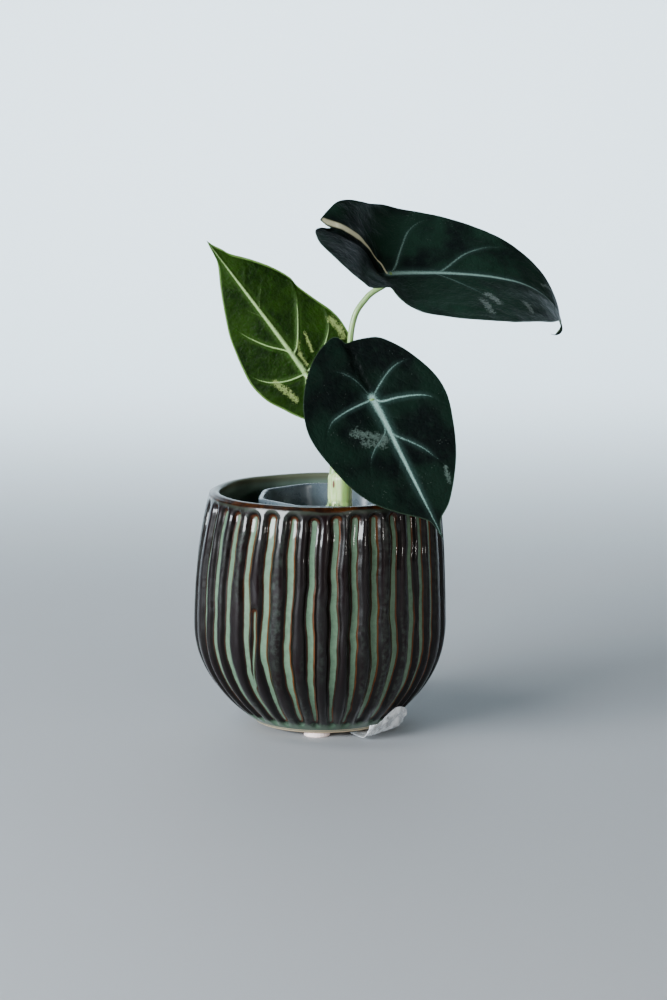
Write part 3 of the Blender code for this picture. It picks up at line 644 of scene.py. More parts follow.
def makeStem():
    s = stem
    rows, columns = 90, 96
    points, green, scar = [], [], []
    for i in range(rows):
        t = i / (rows - 1)
        z = s["bottom"] + (s["top"] - s["bottom"]) * t
        radius = s["radius"] * (1.25 - 0.25 * smoothStep(0.0, 0.45, t))
        if t > 0.93:
            radius *= math.sqrt(max(0.02, 1 - ((t - 0.93) / 0.072) ** 2)) * 0.45 + 0.55
        for j in range(columns):
            a = 2 * math.pi * j / columns
            lap = 0.00028 * math.sin(a * 3 + 0.7 + z * 40)
            lap += 0.00022 * noise.noise(Vector((math.cos(a) * 2, math.sin(a) * 2, z * 160)))
            ring = -0.00018 * math.exp(-((z - 0.1005) / 0.0006) ** 2)
            ring -= 0.00022 * math.exp(-((z - 0.0955) / 0.0007) ** 2)
            r = radius + lap + ring
            points.append((s["x"] + r * math.cos(a), s["y"] + r * math.sin(a), z))
            green.append(math.exp(-((math.degrees(a) - 286) / 16) ** 2))
            scar.append(max(math.exp(-(((math.degrees(a) - 232) / 9) ** 2 + ((z - 0.1085) / 0.0021) ** 2)),
                            0.8 * math.exp(-((z - 0.0955) / 0.0005) ** 2)))
    points.append((s["x"], s["y"], s["top"] + 0.0004))
    green.append(0.0)
    scar.append(0.0)
    last = (rows - 1) * columns
    faces = [tuple(f) for f in gridFaces(rows, columns)]
    faces += [(last + j, last + (j + 1) % columns, len(points) - 1) for j in range(columns)]
    return makeMesh("stem_ringed", np.array(points) + plantAxis, faces, {"green": green, "scar": scar},
                    [stemPaint()])


def stemPaint():
    s = stem
    paint = Paint("fleshy_stem", Roughness=0.38, Subsurface_Weight=0.15, Subsurface_Scale=0.002)
    spot = paint.place()
    fibre = paint.speckle(paint.stretch(spot, (1, 1, 0.12)), 900.0, 3.0)
    cloud = paint.speckle(spot, 150.0, 3.0)
    base = paint.mix(paint.range(fibre, 0.3, 0.7), s["green"], s["pale"])
    base = paint.mix(paint.range(cloud, 0.5, 0.75, 0.0, 0.6), base, s["pale"])
    base = paint.mix(paint.times(paint.attribute("green"), 0.8), base, s["stripe"])
    scar = paint.sum("ADD", paint.attribute("scar"), paint.range(cloud, 0.3, 0.7, -0.2, 0.2))
    base = paint.mix(paint.range(scar, 0.35, 0.6), base, s["scar"])
    paint.set("Base Color", base)
    paint.set("Normal", paint.relief(fibre, 0.25, 0.0004))
    return paint.material


place(makeStem(), "stem_base")

sheath = {"foot": 0.0915, "top": 0.1075, "arc": 128.0, "middle": 232.0, "thickness": 0.00022}


def makeSheath():
    h, s = sheath, stem
    columns, rows = 60, 34
    points = []
    for i in range(rows):
        for j in range(columns):
            across, up = j / (columns - 1), i / (rows - 1)
            angle = math.radians(h["middle"] + h["arc"] * (across - 0.5))
            torn = 0.36 + 0.40 * abs(noise.noise(Vector((across * 5.0, 0, 2.2))))
            torn += 0.35 * abs(noise.noise(Vector((across * 14.0, 4, 0))))
            torn *= smoothStep(0.0, 0.22, across) * smoothStep(1.0, 0.75, across) * 0.75 + 0.25
            z = h["foot"] + (h["top"] - h["foot"]) * up * torn
            curl = 0.0011 * up ** 2 * (0.4 + abs(noise.noise(Vector((across * 6, 1, 1)))) * 1.6)
            r = s["radius"] * 1.06 + 0.0004 + curl + 0.0002 * noise.noise(Vector((across * 12, up * 5, 0)))
            points.append((s["x"] + r * math.cos(angle), s["y"] + r * math.sin(angle), z))
    piece = makeMesh("dry_sheath", np.array(points) + plantAxis, gridFaces(rows, columns, False), None,
                     [sheathPaint()])
    skin = piece.modifiers.new("thickness", "SOLIDIFY")
    skin.thickness = h["thickness"]
    return piece


def sheathPaint():
    paint = Paint("dry_sheath", Roughness=0.7)
    spot = paint.place()
    fibre = paint.speckle(paint.stretch(spot, (1, 1, 0.08)), 1400.0, 3.0)
    cloud = paint.speckle(spot, 240.0, 3.0)
    base = paint.mix(paint.range(fibre, 0.35, 0.7), (0.20, 0.33, 0.12), (0.31, 0.45, 0.21))
    paint.set("Base Color", paint.mix(paint.range(cloud, 0.52, 0.7), base, (0.22, 0.11, 0.05)))
    paint.set("Normal", paint.relief(fibre, 0.5, 0.0004))
    return paint.material


place(makeSheath(), "old_sheath")
print("stem made")


# leaf blades. Flat coordinates are in mm: first towards the tip from the stalk's joint, then to the left

leaves = {
    "upper": {
        "young": False, "joint": (0.0300, 0.0000, 0.2016), "points": (0.985, 0.060, 0.055),
        "faces": (0.00, -0.47, 0.88),
        "length": 88.5, "fold": (11.0, 3.0), "curl": (0.0, 26.0), "arch": 19.0, "hook": 60.0, "lift": 66.0,
        "ease": 0.6, "tipCurl": 120.0, "tipStart": 1.045, "wave": 1.0, "pucker": 0.95, "tone": 1.9,
        "left": [(100.5, 0.0), (97, 0.28), (93, 0.40), (90, 0.9), (86.5, 2.8), (80, 8.0), (70, 15.5),
                 (58, 23.5), (47, 29.5), (33, 35), (20, 39), (8, 42), (-1, 42.8), (-10, 39), (-17, 33.5),
                 (-21.5, 29.5), (-27, 24.7), (-31.3, 20), (-35.4, 14.1), (-38.5, 9.6), (-40.9, 5.2),
                 (-40.6, 4.2), (-38, 3.4), (-35.5, 2.6), (-37.5, 1.2), (-39.9, 0.3), (-40.3, 0.0)],
        "right": [(100.5, 0.0), (97, -0.28), (93, -0.42), (90, -1.1), (85, -5), (79, -14), (70, -25),
                  (55, -35.5), (46, -38.2), (38.2, -38.8), (27.4, -38.4), (14, -34.8), (8, -32.3), (2, -30),
                  (-3, -28.3), (-8, -28.5), (-14.7, -30.5), (-20, -32.5), (-25, -33), (-30.3, -29.6),
                  (-36.5, -22), (-41.5, -15.5), (-43.9, -7), (-43, -2.9), (-40.3, 0.0)],
        "veins": [
            ([(0, 0), (20, 0.2), (45, 0), (70, 0), (88, 0)], 2.3, 0.40, 1.0),
            ([(1.5, 0.6), (4, 6), (6.5, 15), (11, 27), (18, 34), (26, 36)], 1.0, 0.35, 0.62),
            ([(14, 0.5), (18, 7), (23, 16), (31, 25.5)], 0.45, 0.2, 0.24),
            ([(22, 0.4), (26, 4), (34.5, 13.0), (43, 18.0), (52, 21), (60, 20.5)], 0.90, 0.30, 0.70),
            ([(42, 0.2), (49, 6), (58, 12), (66, 14.5)], 0.40, 0.2, 0.26),
            ([(20, -0.4), (24.5, -3), (31, -8), (39, -15), (46, -24)], 0.50, 0.2, 0.66),
            ([(38, -0.3), (45, -6), (54, -14), (62, -20)], 0.40, 0.2, 0.24),
            ([(4, -0.4), (8, -8), (12, -18), (17, -29)], 0.45, 0.2, 0.24),
            ([(-3, 4), (-9, 13), (-16, 17), (-21, 22), (-24, 26)], 0.50, 0.2, 0.42),
            ([(-5, -2), (-16, -14), (-24, -19.5), (-31, -21)], 0.45, 0.2, 0.30),
        ],
        "cream": [(-0.5, 0.5), (-3.5, 6.5), (-10, 7.6), (-17, 6.0), (-24, 5.1), (-32, 5.3), (-38.5, 5.2)],
        # crease path, and the width of the painted shadow laid along it for the shade in the sinus
        "creaseAndPaintedShadow": ([(-4, 1.0), (-10, 2.6), (-18, 0.8), (-28, -0.8), (-37, -0.5)], 4.6),
        "patches": [([(42, -16), (46, -22)], 2.1), ([(39, -22), (42, -31)], 2.2),
                    ([(59, -18), (61, -23)], 1.8), ([(71, 6), (77, 8)], 1.1)],
        "patchTone": (0.105, 0.130, 0.122),
    },
    "front": {
        "young": False, "joint": (0.0223, -0.0380, 0.1518), "points": (0.445, -0.28, -0.85),
        "faces": (0.10, -0.92, 0.38),
        "length": 66.5, "fold": (5.0, 3.0), "curl": (0.0, 0.0), "arch": 4.0, "hook": 0.0, "lift": 4.0,
        "ease": 0.0, "tipCurl": 12.0, "tipStart": 0.95, "wave": 0.6, "pucker": 0.85, "tone": 0.95,
        "left": [(68.5, 0.0), (64, 0.9), (60, 3.1), (55, 9.6), (45, 17.2), (35, 22.8), (23, 27.2),
                 (12.5, 29.7), (2, 28.7), (-10, 23.7), (-17.5, 18.7), (-22.3, 14.0), (-24.3, 8.8),
                 (-25.3, 4.5), (-25.6, 1.5), (-26, 0.0)],
        "right": [(68.5, 0.0), (64, -0.6), (59.5, -1.6), (56, -4.9), (50, -12.5), (42, -20.5), (32.3, -26),
                  (22, -29.4), (10, -32.0), (1.7, -32.0), (-6.3, -29.7), (-13.7, -25.8), (-21.2, -19.8),
                  (-26.8, -13), (-30.2, -5.3), (-29.6, -1.8), (-26, 0.0)],
        "veins": [
            ([(0, 0), (12, 0.2), (28, 0), (45, 0), (66, 0)], 2.3, 0.35, 1.0),
            ([(0, 0.4), (-5, 8), (-8, 14.5), (-8.2, 21), (-6, 25.5)], 0.85, 0.25, 0.62),
            ([(1, 0.5), (3.5, 3), (5, 10), (7.5, 17.5), (10.5, 22.5), (16, 26.5)], 0.95, 0.25, 0.85),
            ([(9, 0.6), (13, 6), (19.5, 15.5)], 0.45, 0.2, 0.22),
            ([(17, 0.5), (20, 2), (25, 6.5), (31.5, 11), (40.5, 15)], 0.85, 0.25, 0.70),
            ([(32, 0.3), (38, 4.5), (45, 8)], 0.40, 0.2, 0.22),
            ([(1, -0.5), (1, -9), (1.7, -16), (3.5, -21.5), (9, -26.5)], 0.85, 0.25, 0.72),
            ([(0, -0.3), (-7.8, -2.3), (-13, -5.5), (-16.5, -9.5), (-17, -14)], 0.65, 0.25, 0.50),
            ([(-7.8, -2.3), (-15, -0.8), (-21, 0.5)], 0.40, 0.2, 0.30),
            ([(13.5, -0.6), (17, -2.5), (21, -9), (25, -13), (30, -15.5)], 0.75, 0.25, 0.60),
            ([(29, -0.4), (35, -5), (42, -8.5)], 0.40, 0.2, 0.25),
        ],
        # crease path, and the width of the painted shadow laid along it for the shade in the sinus
        "cream": [], "creaseAndPaintedShadow": ([(-4, 0.5), (-14, 0.0), (-26, 1.0)], 3.0),
        "patches": [([(11.5, -13.5), (15, -9), (19, -3)], 2.6), ([(17, -12), (21, -5)], 2.0),
                    ([(41, 14.5), (47, 13.5)], 1.3)],
        "patchTone": (0.060, 0.085, 0.073),
    },
    "left": {
        "young": True, "joint": (-0.0062, 0.0095, 0.1564), "points": (-0.60, 0.10, 0.80),
        "faces": (0.06, 0.99, -0.06),
        "length": 72.0, "fold": (5.0, 6.0), "curl": (0.0, 0.0), "arch": 2.0, "hook": 0.0, "lift": 4.0,
        "ease": 0.0, "tipCurl": 30.0, "tipStart": 0.95, "wave": 0.6, "pucker": 0.50, "tone": 0.60,
        "left": [(73.5, 0.0), (70, 1.1), (66, 3.2), (62.5, 4.8), (55, 10.7), (46.5, 16.2), (38.5, 19.7),
                 (33.2, 20.2), (24, 23), (15, 25.9), (6.5, 26.3), (-4.5, 24), (-15, 18.5), (-21.5, 10),
                 (-23, 4), (-19.5, 0.0)],
        "right": [(73.5, 0.0), (70, -0.7), (66.7, -1.2), (62, -2.4), (53.5, -7.5), (45, -12.1), (34, -17.4),
                  (25.5, -20.0), (18.8, -21.7), (10.3, -23.1), (1.1, -21.8), (-6.4, -18.4), (-13, -15),
                  (-18.7, -10.8), (-22, -4.6), (-19.5, 0.0)],
        "veins": [
            ([(0, 0), (20, 0.3), (45, 0.2), (71, 0)], 1.75, 0.40, 1.0),
            ([(10, 0.4), (12.5, 4.5), (21.5, 11.5), (30.5, 17.3), (36.5, 19.3)], 0.60, 0.25, 0.9),
            ([(9, -0.2), (13, -0.8), (19.5, -6), (27, -10.5), (36.5, -14.5)], 0.60, 0.25, 0.9),
            ([(0, -0.2), (2, -8), (6, -15), (11, -19.3), (16.5, -21.5)], 0.65, 0.25, 0.9),
            ([(0, 0.2), (2, 8), (6.5, 16), (12, 21.5), (18, 24)], 0.65, 0.25, 0.9),
            ([(34, 0.2), (37, 2), (41.5, 6), (45, 10.5)], 0.35, 0.18, 0.55),
            ([(31, 0), (34, -1.8), (37.5, -4), (41, -6.5)], 0.35, 0.18, 0.55),
            ([(46, 0.2), (50, 3.5), (54, 7)], 0.30, 0.18, 0.45),
            ([(45, 0), (49, -3), (53, -5)], 0.30, 0.18, 0.45),
            ([(0, 0.2), (-8, 7), (-14, 14)], 0.5, 0.2, 0.7),
            ([(0, -0.2), (-8, -6), (-13, -11)], 0.5, 0.2, 0.7),
        ],
        # crease path, and the width of the painted shadow laid along it for the shade in the sinus
        "cream": [], "creaseAndPaintedShadow": ([(-10, 0), (-19, 0)], 0.5),
        "patches": [([(4.5, -13.5), (-2, -11.5), (-6.5, -10.8)], 1.9),
                    ([(13, 23.0), (8, 23.8), (3.5, 23.2)], 1.9),
                    ([(15, 10.5), (10, 9), (6.3, 8)], 0.9), ([(3, 2.6), (9, 3.2), (14, 6)], 1.0)],
        "patchTone": (0.22, 0.29, 0.10),
    },
}
bladeThickness = 0.00075


def bladeFrame(leaf):
    up = np.array(leaf["faces"], float)
    up /= np.linalg.norm(up)
    along = np.array(leaf["points"], float)
    along -= up * (along @ up)
    along /= np.linalg.norm(along)
    return np.stack([along, np.cross(up, along), up], 1)


def bendTable(leaf, start, end):
    # the midrib's bend; the back starts to lift between two shares of the length behind the joint
    length = leaf["length"] / 1000
    steps = np.linspace(-0.7 * length, 1.2 * length, 1400)
    reach = steps / length
    ease = 1.0 - leaf["ease"] * smoothStep(0.12, 0.38, -reach)
    slope = np.radians(leaf["lift"]) * smoothStep(start, end, -reach) * ease
    slope = slope + np.radians(leaf["arch"] * np.maximum(0, reach)
                               + leaf["hook"] * np.maximum(0, (np.minimum(reach, 1.0) - 0.4) / 0.6) ** 2.2)
    slope = slope + np.radians(leaf["tipCurl"]) * smoothStep(0.0, 0.09, reach - leaf["tipStart"])
    gap = steps[1] - steps[0]
    along = np.cumsum(np.cos(slope)) * gap
    rise = -np.cumsum(np.sin(slope)) * gap
    return steps, along - np.interp(0, steps, along), rise - np.interp(0, steps, rise), slope


def bladeSurface(leaf, forward, side):
    # flat metres to the bent blade, in the blade's own frame; the bend is softer away from the midrib
    steps, along, rise, slope = bendTable(leaf, 0.0, 0.10)
    softAlong, softRise, softSlope = bendTable(leaf, -0.16, 0.26)[1:]
    length = leaf["length"] / 1000
    for row, soft in ((along, softAlong), (rise, softRise)):
        soft += np.interp(0.25 * length, steps, row) - np.interp(0.25 * length, steps, soft)
    share = smoothStep(0.003, 0.022, np.abs(side))
    along, rise, slope = (np.interp(forward, steps, a) * (1 - share) + np.interp(forward, steps, b) * share
                          for a, b in ((along, softAlong), (rise, softRise), (slope, softSlope)))
    lifted = np.hypot(side, 0.003) - 0.003
    fold = np.where(side > 0, leaf["fold"][0], leaf["fold"][1])
    curl = np.where(side > 0, leaf["curl"][0], leaf["curl"][1])
    reach = forward / length
    curl = curl * smoothStep(0.0, 1.0, 0.35 - 2.0 * reach) * (1.0 - smoothStep(0.05, 0.20, -reach))
    fold = np.radians(fold + curl)
    height = lifted * np.sin(fold)
    across = side * np.cos(fold * lifted / (np.abs(side) + 1e-9))
    return along + np.sin(slope) * height, across, rise + np.cos(slope) * height


def outlineReach(leaf, degrees):
    # distance from the joint to the margin in each direction, mm
    reach = np.zeros_like(degrees)
    for label, sign in (("left", 1.0), ("right", -1.0)):
        path = flowing(leaf[label], 900)
        angle = np.degrees(np.arctan2(np.abs(path[:, 1]), path[:, 0]))
        angle = np.maximum.accumulate(angle)
        far = np.hypot(path[:, 0], path[:, 1])
        mine = degrees * sign >= 0
        reach[mine] = np.interp(np.abs(degrees[mine]), angle, far)
    return reach


def veinFields(leaf, flat):
    # paleness of the veins, a wide soft halo, and how the blade is drawn in along them
    core = np.zeros(len(flat))
    halo = np.zeros(len(flat))
    rib = np.zeros(len(flat))
    for points, thick, thin, strength in leaf["veins"]:
        path = flowing(points, 40)
        best = np.full(len(flat), 1e9)
        share = np.zeros(len(flat))
        for k in range(len(path) - 1):
            a, step = path[k], path[k + 1] - path[k]
            t = np.clip(((flat - a) @ step) / (step @ step), 0, 1)
            far = np.hypot(*(flat - a - t[:, None] * step).T)
            closer = far < best
            best = np.where(closer, far, best)
            share = np.where(closer, (k + t) / (len(path) - 1), share)
        width = thick + (thin - thick) * share ** 0.55
        fade = strength * (1 - 0.75 * smoothStep(0.55, 1.0, share))
        if thick > 1.2:
            fade = strength * (1 - 0.45 * smoothStep(0.6, 1.0, share))
        core = np.maximum(core, fade * np.exp(-(best / width) ** 2 * 1.1))
        halo = np.maximum(halo, fade * np.exp(-(best / (width * 1.6 + 1.6)) ** 2))
        rib = np.maximum(rib, min(1.0, thick) * (1 - 0.6 * share)
                         * np.exp(-(best / (width * 0.9 + 0.35)) ** 2))
    return core, halo, rib


def pathReach(flat, points):
    path = flowing(points, 60)
    return np.min(np.hypot(flat[:, None, 0] - path[None, :, 0], flat[:, None, 1] - path[None, :, 1]), 1)


def makeBlade(key, leaf):
    half, rings = 190, 120
    spread = 180.0 * (np.arange(half + 1) / half) ** 1.45
    degrees = np.concatenate([spread, -spread[1:-1][::-1]])
    reach = outlineReach(leaf, degrees)
    columns = len(degrees)
    share = (np.arange(1, rings + 1) / rings) ** 0.92
    flat = np.stack([share[:, None] * (reach * np.cos(np.radians(degrees)))[None, :],
                     share[:, None] * (reach * np.sin(np.radians(degrees)))[None, :]], -1).reshape(-1, 2)
    flat = np.vstack([flat, [[0.0, 0.0]]])
    margin = np.concatenate([((1 - share)[:, None] * np.minimum(reach, 40)[None, :]).reshape(-1), [25.0]])
    core, halo, rib = veinFields(leaf, flat)
    forward, side = flat[:, 0] / 1000, flat[:, 1] / 1000
    along, across, rise = bladeSurface(leaf, forward, side)
    spots = np.stack([along, across, rise], 1)
    faces = gridFaces(rings, columns)
    column = np.arange(columns)
    cap = np.stack([np.full(columns, len(flat) - 1), column, (column + 1) % columns], 1)
    normals = pointNormals(spots, faces, cap)
    seed = {"upper": 1.0, "front": 2.0, "left": 3.0}[key]
    flat3 = np.column_stack([flat, np.full(len(flat), seed * 10)])
    quilt = waves(flat3, 0.085, seed) * 0.55 + waves(flat3, 0.21, seed + 4) * 0.28
    ripple = np.sin(np.arctan2(flat[:, 1], flat[:, 0]) * 7 + seed) * smoothStep(9.0, 0.0, margin)
    crease = np.exp(-(pathReach(flat, leaf["creaseAndPaintedShadow"][0]) / 1.6) ** 2)
    lift = quilt * leaf["pucker"] * (1 - 0.7 * halo) - 0.32 * rib - 0.5 * crease
    lift = (lift + ripple * 0.35 * leaf["wave"]) / 1000
    lift *= smoothStep(0.0, 3.0, margin) * 0.6 + 0.4
    top = spots + normals * lift[:, None]
    thick = bladeThickness * (0.45 + 0.55 * smoothStep(0.0, 1.6, margin)) + rib * 0.0009
    thick = np.where(np.hypot(flat[:, 0], flat[:, 1]) > leaf["length"] * 1.005, thick * 0.9, thick)
    bottom = top - normals * thick[:, None]
    world = np.vstack([top, bottom]) @ bladeFrame(leaf).T + np.array(leaf["joint"]) + plantAxis
    count = len(flat)
    rim = (rings - 1) * columns + column
    after = (rings - 1) * columns + (column + 1) % columns
    allFaces = [tuple(f) for f in faces[:, ::-1]] + [tuple(f) for f in cap]
    allFaces += [tuple(f) for f in (faces + count)] + [tuple(f) for f in (cap[:, ::-1] + count)]
    allFaces += [(a, b, b + count, a + count) for a, b in zip(rim.tolist(), after.tolist())]
    topCount = len(faces) + len(cap)
    slots = [0] * topCount + [1] * topCount + [0] * columns
    patch = np.zeros(len(flat))
    for points, size in leaf["patches"]:
        patch = np.maximum(patch, np.exp(-(pathReach(flat, points) / size) ** 2))
    cream = np.zeros(len(flat))
    if leaf["cream"]:
        cream = np.exp(-(pathReach(flat, leaf["cream"]) / (0.45 + 1.5 * smoothStep(7, 24, -flat[:, 0]))) ** 2)
    # painted shadow: a soft band along the crease path, strongest on the path, standing in for the shade in
    # the sinus
    creaseAndPaintedShadow = np.exp(-(pathReach(flat, leaf["creaseAndPaintedShadow"][0]) / leaf["creaseAndPaintedShadow"][1]) ** 2)
    attributes = {"core": core, "halo": halo, "margin": margin, "patch": patch, "cream": cream,
                  "creaseAndPaintedShadow": creaseAndPaintedShadow, "flatSpot": flat3}
    attributes = {k: np.concatenate([v, v]) for k, v in attributes.items()}
    return makeMesh("leaf_blade_" + key, world, allFaces, attributes,
                    [topPaint(key, leaf), underPaint(key, leaf)], slots)


def pointNormals(spots, quads, caps):
    normals = np.zeros_like(spots)
    side = np.cross(spots[quads[:, 2]] - spots[quads[:, 0]], spots[quads[:, 3]] - spots[quads[:, 1]])
    for k in range(4):
        np.add.at(normals, quads[:, k], side)
    flip = np.cross(spots[caps[:, 1]] - spots[caps[:, 0]], spots[caps[:, 2]] - spots[caps[:, 0]])
    for k in range(3):
        np.add.at(normals, caps[:, k], -flip)
    normals /= np.maximum(np.linalg.norm(normals, axis=1, keepdims=True), 1e-12)
    if normals[quads[0][0]][2] < 0:
        normals = -normals
    return normals


# blade colours: a young leaf is greener and thinner than a grown one
bladeTones = {
    "grown": {
        "dark": (0.0019, 0.0032, 0.0030), "green": (0.0034, 0.0092, 0.0060), "halo": (0.0130, 0.0270, 0.0230),
        "vein": (0.18, 0.29, 0.255), "margin": (0.030, 0.050, 0.032), "underDark": (0.030, 0.052, 0.027),
        "underGreen": (0.055, 0.082, 0.044), "underNet": (0.09, 0.12, 0.07), "underHalo": (0.11, 0.15, 0.08),
        "underVein": (0.30, 0.37, 0.22), "underMargin": (0.10, 0.13, 0.07),
    },
    "young": {
        "dark": (0.006, 0.016, 0.003), "green": (0.018, 0.042, 0.007), "halo": (0.050, 0.095, 0.024),
        "vein": (0.18, 0.29, 0.12), "margin": (0.036, 0.075, 0.020), "underDark": (0.0022, 0.0075, 0.0006),
        "underGreen": (0.0080, 0.0215, 0.0016), "underNet": (0.012, 0.029, 0.003),
        "underHalo": (0.020, 0.045, 0.007), "underVein": (0.23, 0.34, 0.14),
        "underMargin": (0.075, 0.13, 0.035),
    },
}


def topPaint(key, leaf):
    paint = Paint("velvet_top_" + key, Specular_IOR_Level=0.025)
    flat = paint.attribute("flatSpot", "Vector")
    core, halo, margin = paint.attribute("core"), paint.attribute("halo"), paint.attribute("margin")
    broad = paint.speckle(flat, 0.045, 2.0)
    middle = paint.speckle(flat, 0.30, 4.0, 0.6)
    fine = paint.speckle(flat, 3.2, 3.0, 0.6)
    net = paint.cells(flat, 0.40, "DISTANCE_TO_EDGE")
    tones = bladeTones["young" if leaf["young"] else "grown"]
    darkest, greener = (tuple(v * leaf["tone"] for v in tones[name]) for name in ("dark", "green"))
    base = paint.mix(paint.range(broad, 0.40, 0.62), darkest, greener)
    base = paint.mix(paint.range(middle, 0.45, 0.75, 0.0, 0.5), base, greener)
    base = paint.mix(paint.range(halo, 0.20, 1.0, 0.0, 0.8), base, tones["halo"])
    hairs = paint.speckle(flat, 2.2, 4.0, 0.75)
    feather = paint.sum("ADD", core, paint.range(hairs, 0.25, 0.75, -0.42, 0.26))
    base = paint.mix(paint.range(feather, 0.18, 1.08), base, tones["vein"])
    ragged = paint.range(paint.speckle(flat, 0.85, 4.0, 0.75, 0.6), 0.25, 0.75, -0.75, 0.55)
    blot = paint.sum("ADD", paint.attribute("patch"), ragged)
    blot = paint.times(paint.range(blot, 0.40, 0.85), paint.range(paint.attribute("patch"), 0.08, 0.25))
    base = paint.mix(paint.times(blot, paint.range(hairs, 0.3, 0.65, 0.25, 0.9)), base, leaf["patchTone"])
    dots = paint.range(paint.cells(flat, 0.85), 0.13, 0.07)
    dots = paint.times(dots, paint.range(paint.speckle(flat, 0.11, 2.0), 0.53, 0.64))
    base = paint.mix(paint.times(dots, 0.5), base, (0.14, 0.17, 0.15))
    # painted shadow: near-black base colour along the crease, where the sinus lies in shade
    base = paint.mix(paint.times(paint.attribute("creaseAndPaintedShadow"), 0.8), base, (0.0006, 0.0012, 0.0010))
    base = paint.mix(paint.range(paint.attribute("cream"), 0.25, 0.75), base,
                     paint.mix(paint.range(hairs, 0.3, 0.7), (0.52, 0.47, 0.34), (0.40, 0.42, 0.24)))
    base = paint.mix(paint.range(margin, 0.45, 0.10, 0.0, 0.7), base, tones["margin"])
    paint.set("Base Color", base)
    paint.set("Roughness", paint.range(middle, 0.3, 0.7, 0.36, 0.50))
    first = paint.relief(paint.range(net, 0.0, 0.25), 0.16, 0.0006)
    second = paint.relief(fine, 0.12, 0.0003, first)
    paint.set("Normal", paint.relief(middle, 0.30, 0.0014, second))
    return paint.material


def underPaint(key, leaf):
    tones = bladeTones["young" if leaf["young"] else "grown"]
    paint = Paint("leaf_under_" + key, Roughness=0.40, Specular_IOR_Level=0.03)
    flat = paint.attribute("flatSpot", "Vector")
    core, halo, margin = paint.attribute("core"), paint.attribute("halo"), paint.attribute("margin")
    broad = paint.speckle(flat, 0.055, 3.0)
    middle = paint.speckle(flat, 0.35, 4.0, 0.6)
    fine = paint.speckle(flat, 2.5, 3.0, 0.6)
    net = paint.cells(flat, 0.42, "DISTANCE_TO_EDGE")
    base = paint.mix(paint.range(broad, 0.36, 0.62), tones["underDark"], tones["underGreen"])
    base = paint.mix(paint.range(middle, 0.40, 0.75, 0.0, 0.6), base, tones["underGreen"])
    base = paint.mix(paint.range(net, 0.10, 0.0, 0.0, 0.22), base, tones["underNet"])
    base = paint.mix(paint.range(halo, 0.2, 1.0, 0.0, 0.7), base, tones["underHalo"])
    hairs = paint.speckle(flat, 2.2, 4.0, 0.75)
    feather = paint.sum("ADD", core, paint.range(hairs, 0.25, 0.75, -0.22, 0.16))
    base = paint.mix(paint.range(feather, 0.25, 0.95), base, tones["underVein"])
    ragged = paint.range(paint.speckle(flat, 0.95, 4.0, 0.8, 1.2), 0.25, 0.75, -1.0, 0.50)
    blot = paint.sum("ADD", paint.attribute("patch"), ragged)
    blot = paint.times(paint.range(blot, 0.35, 0.65), paint.range(paint.attribute("patch"), 0.08, 0.25))
    base = paint.mix(paint.times(blot, 0.75 if leaf["young"] else 0.35), base, (0.19, 0.24, 0.08))
    base = paint.mix(paint.range(margin, 1.1, 0.5), base, tones["underMargin"])
    paint.set("Base Color", base)
    first = paint.relief(paint.range(net, 0.0, 0.3, 1.0, 0.0), 0.12, 0.0006)
    second = paint.relief(middle, 0.45, 0.0016, first)
    paint.set("Normal", paint.relief(fine, 0.12, 0.0003, second))
    if leaf["young"]:
        paint.set("Subsurface Weight", 0.12)
        paint.set("Subsurface Scale", 0.003)
        paint.set("Subsurface Radius", (0.6, 1.0, 0.25))
    return paint.material


for leafKey, leafData in leaves.items():
    place(makeBlade(leafKey, leafData), "leaf_" + leafKey)
    print("blade", leafKey, "made")


# stalks

stalks = {
    "upper": {"way": ((0.0122, 0.0020, 0.1400), (0.0140, 0.0020, 0.1770), (0.0205, 0.0025, 0.1905)),
              "foot": 45.0, "footRadius": 0.0030, "tipRadius": 0.00135},
    "front": {"way": ((0.0112, -0.0030, 0.1350), (0.0165, -0.0130, 0.1520), (0.0205, -0.0260, 0.1565)),
              "foot": -60.0, "footRadius": 0.0029, "tipRadius": 0.00125},
    "left": {"way": ((0.0040, 0.0010, 0.1300), (-0.0010, 0.0005, 0.1450), (-0.0045, 0.0025, 0.1540)),
             "foot": 165.0, "footRadius": 0.0027, "tipRadius": 0.00115},
}


def makeStalk(key, stalk):
    up = bladeFrame(leaves[key])[:, 2]
    angle = math.radians(stalk["foot"])
    foot = np.array([stem["x"] + 0.0028 * math.cos(angle), stem["y"] + 0.0028 * math.sin(angle), 0.1085])
    end = np.array(leaves[key]["joint"]) - up * (bladeThickness * 0.6)
    way = [foot, foot + [0, 0, 0.010]] + [np.array(p) for p in stalk["way"]] + [end - up * 0.0042, end]
    count = 110
    path = flowing(way, count)
    t = np.linspace(0, 1, count)
    taper = (1 - smoothStep(0.0, 0.42, t)) ** 1.2
    radii = stalk["tipRadius"] + (stalk["footRadius"] - stalk["tipRadius"]) * taper
    radii = radii + 0.00035 * smoothStep(0.965, 1.0, t)
    points, faces = tube(path, radii, 28)
    ends = [tuple(range(27, -1, -1)), tuple(range((count - 1) * 28, count * 28))]
    run = np.repeat(t, 28)
    return makeMesh("stalk_" + key, points + plantAxis, [tuple(f) for f in faces] + ends, {"run": run},
                    [stalkMaterial])


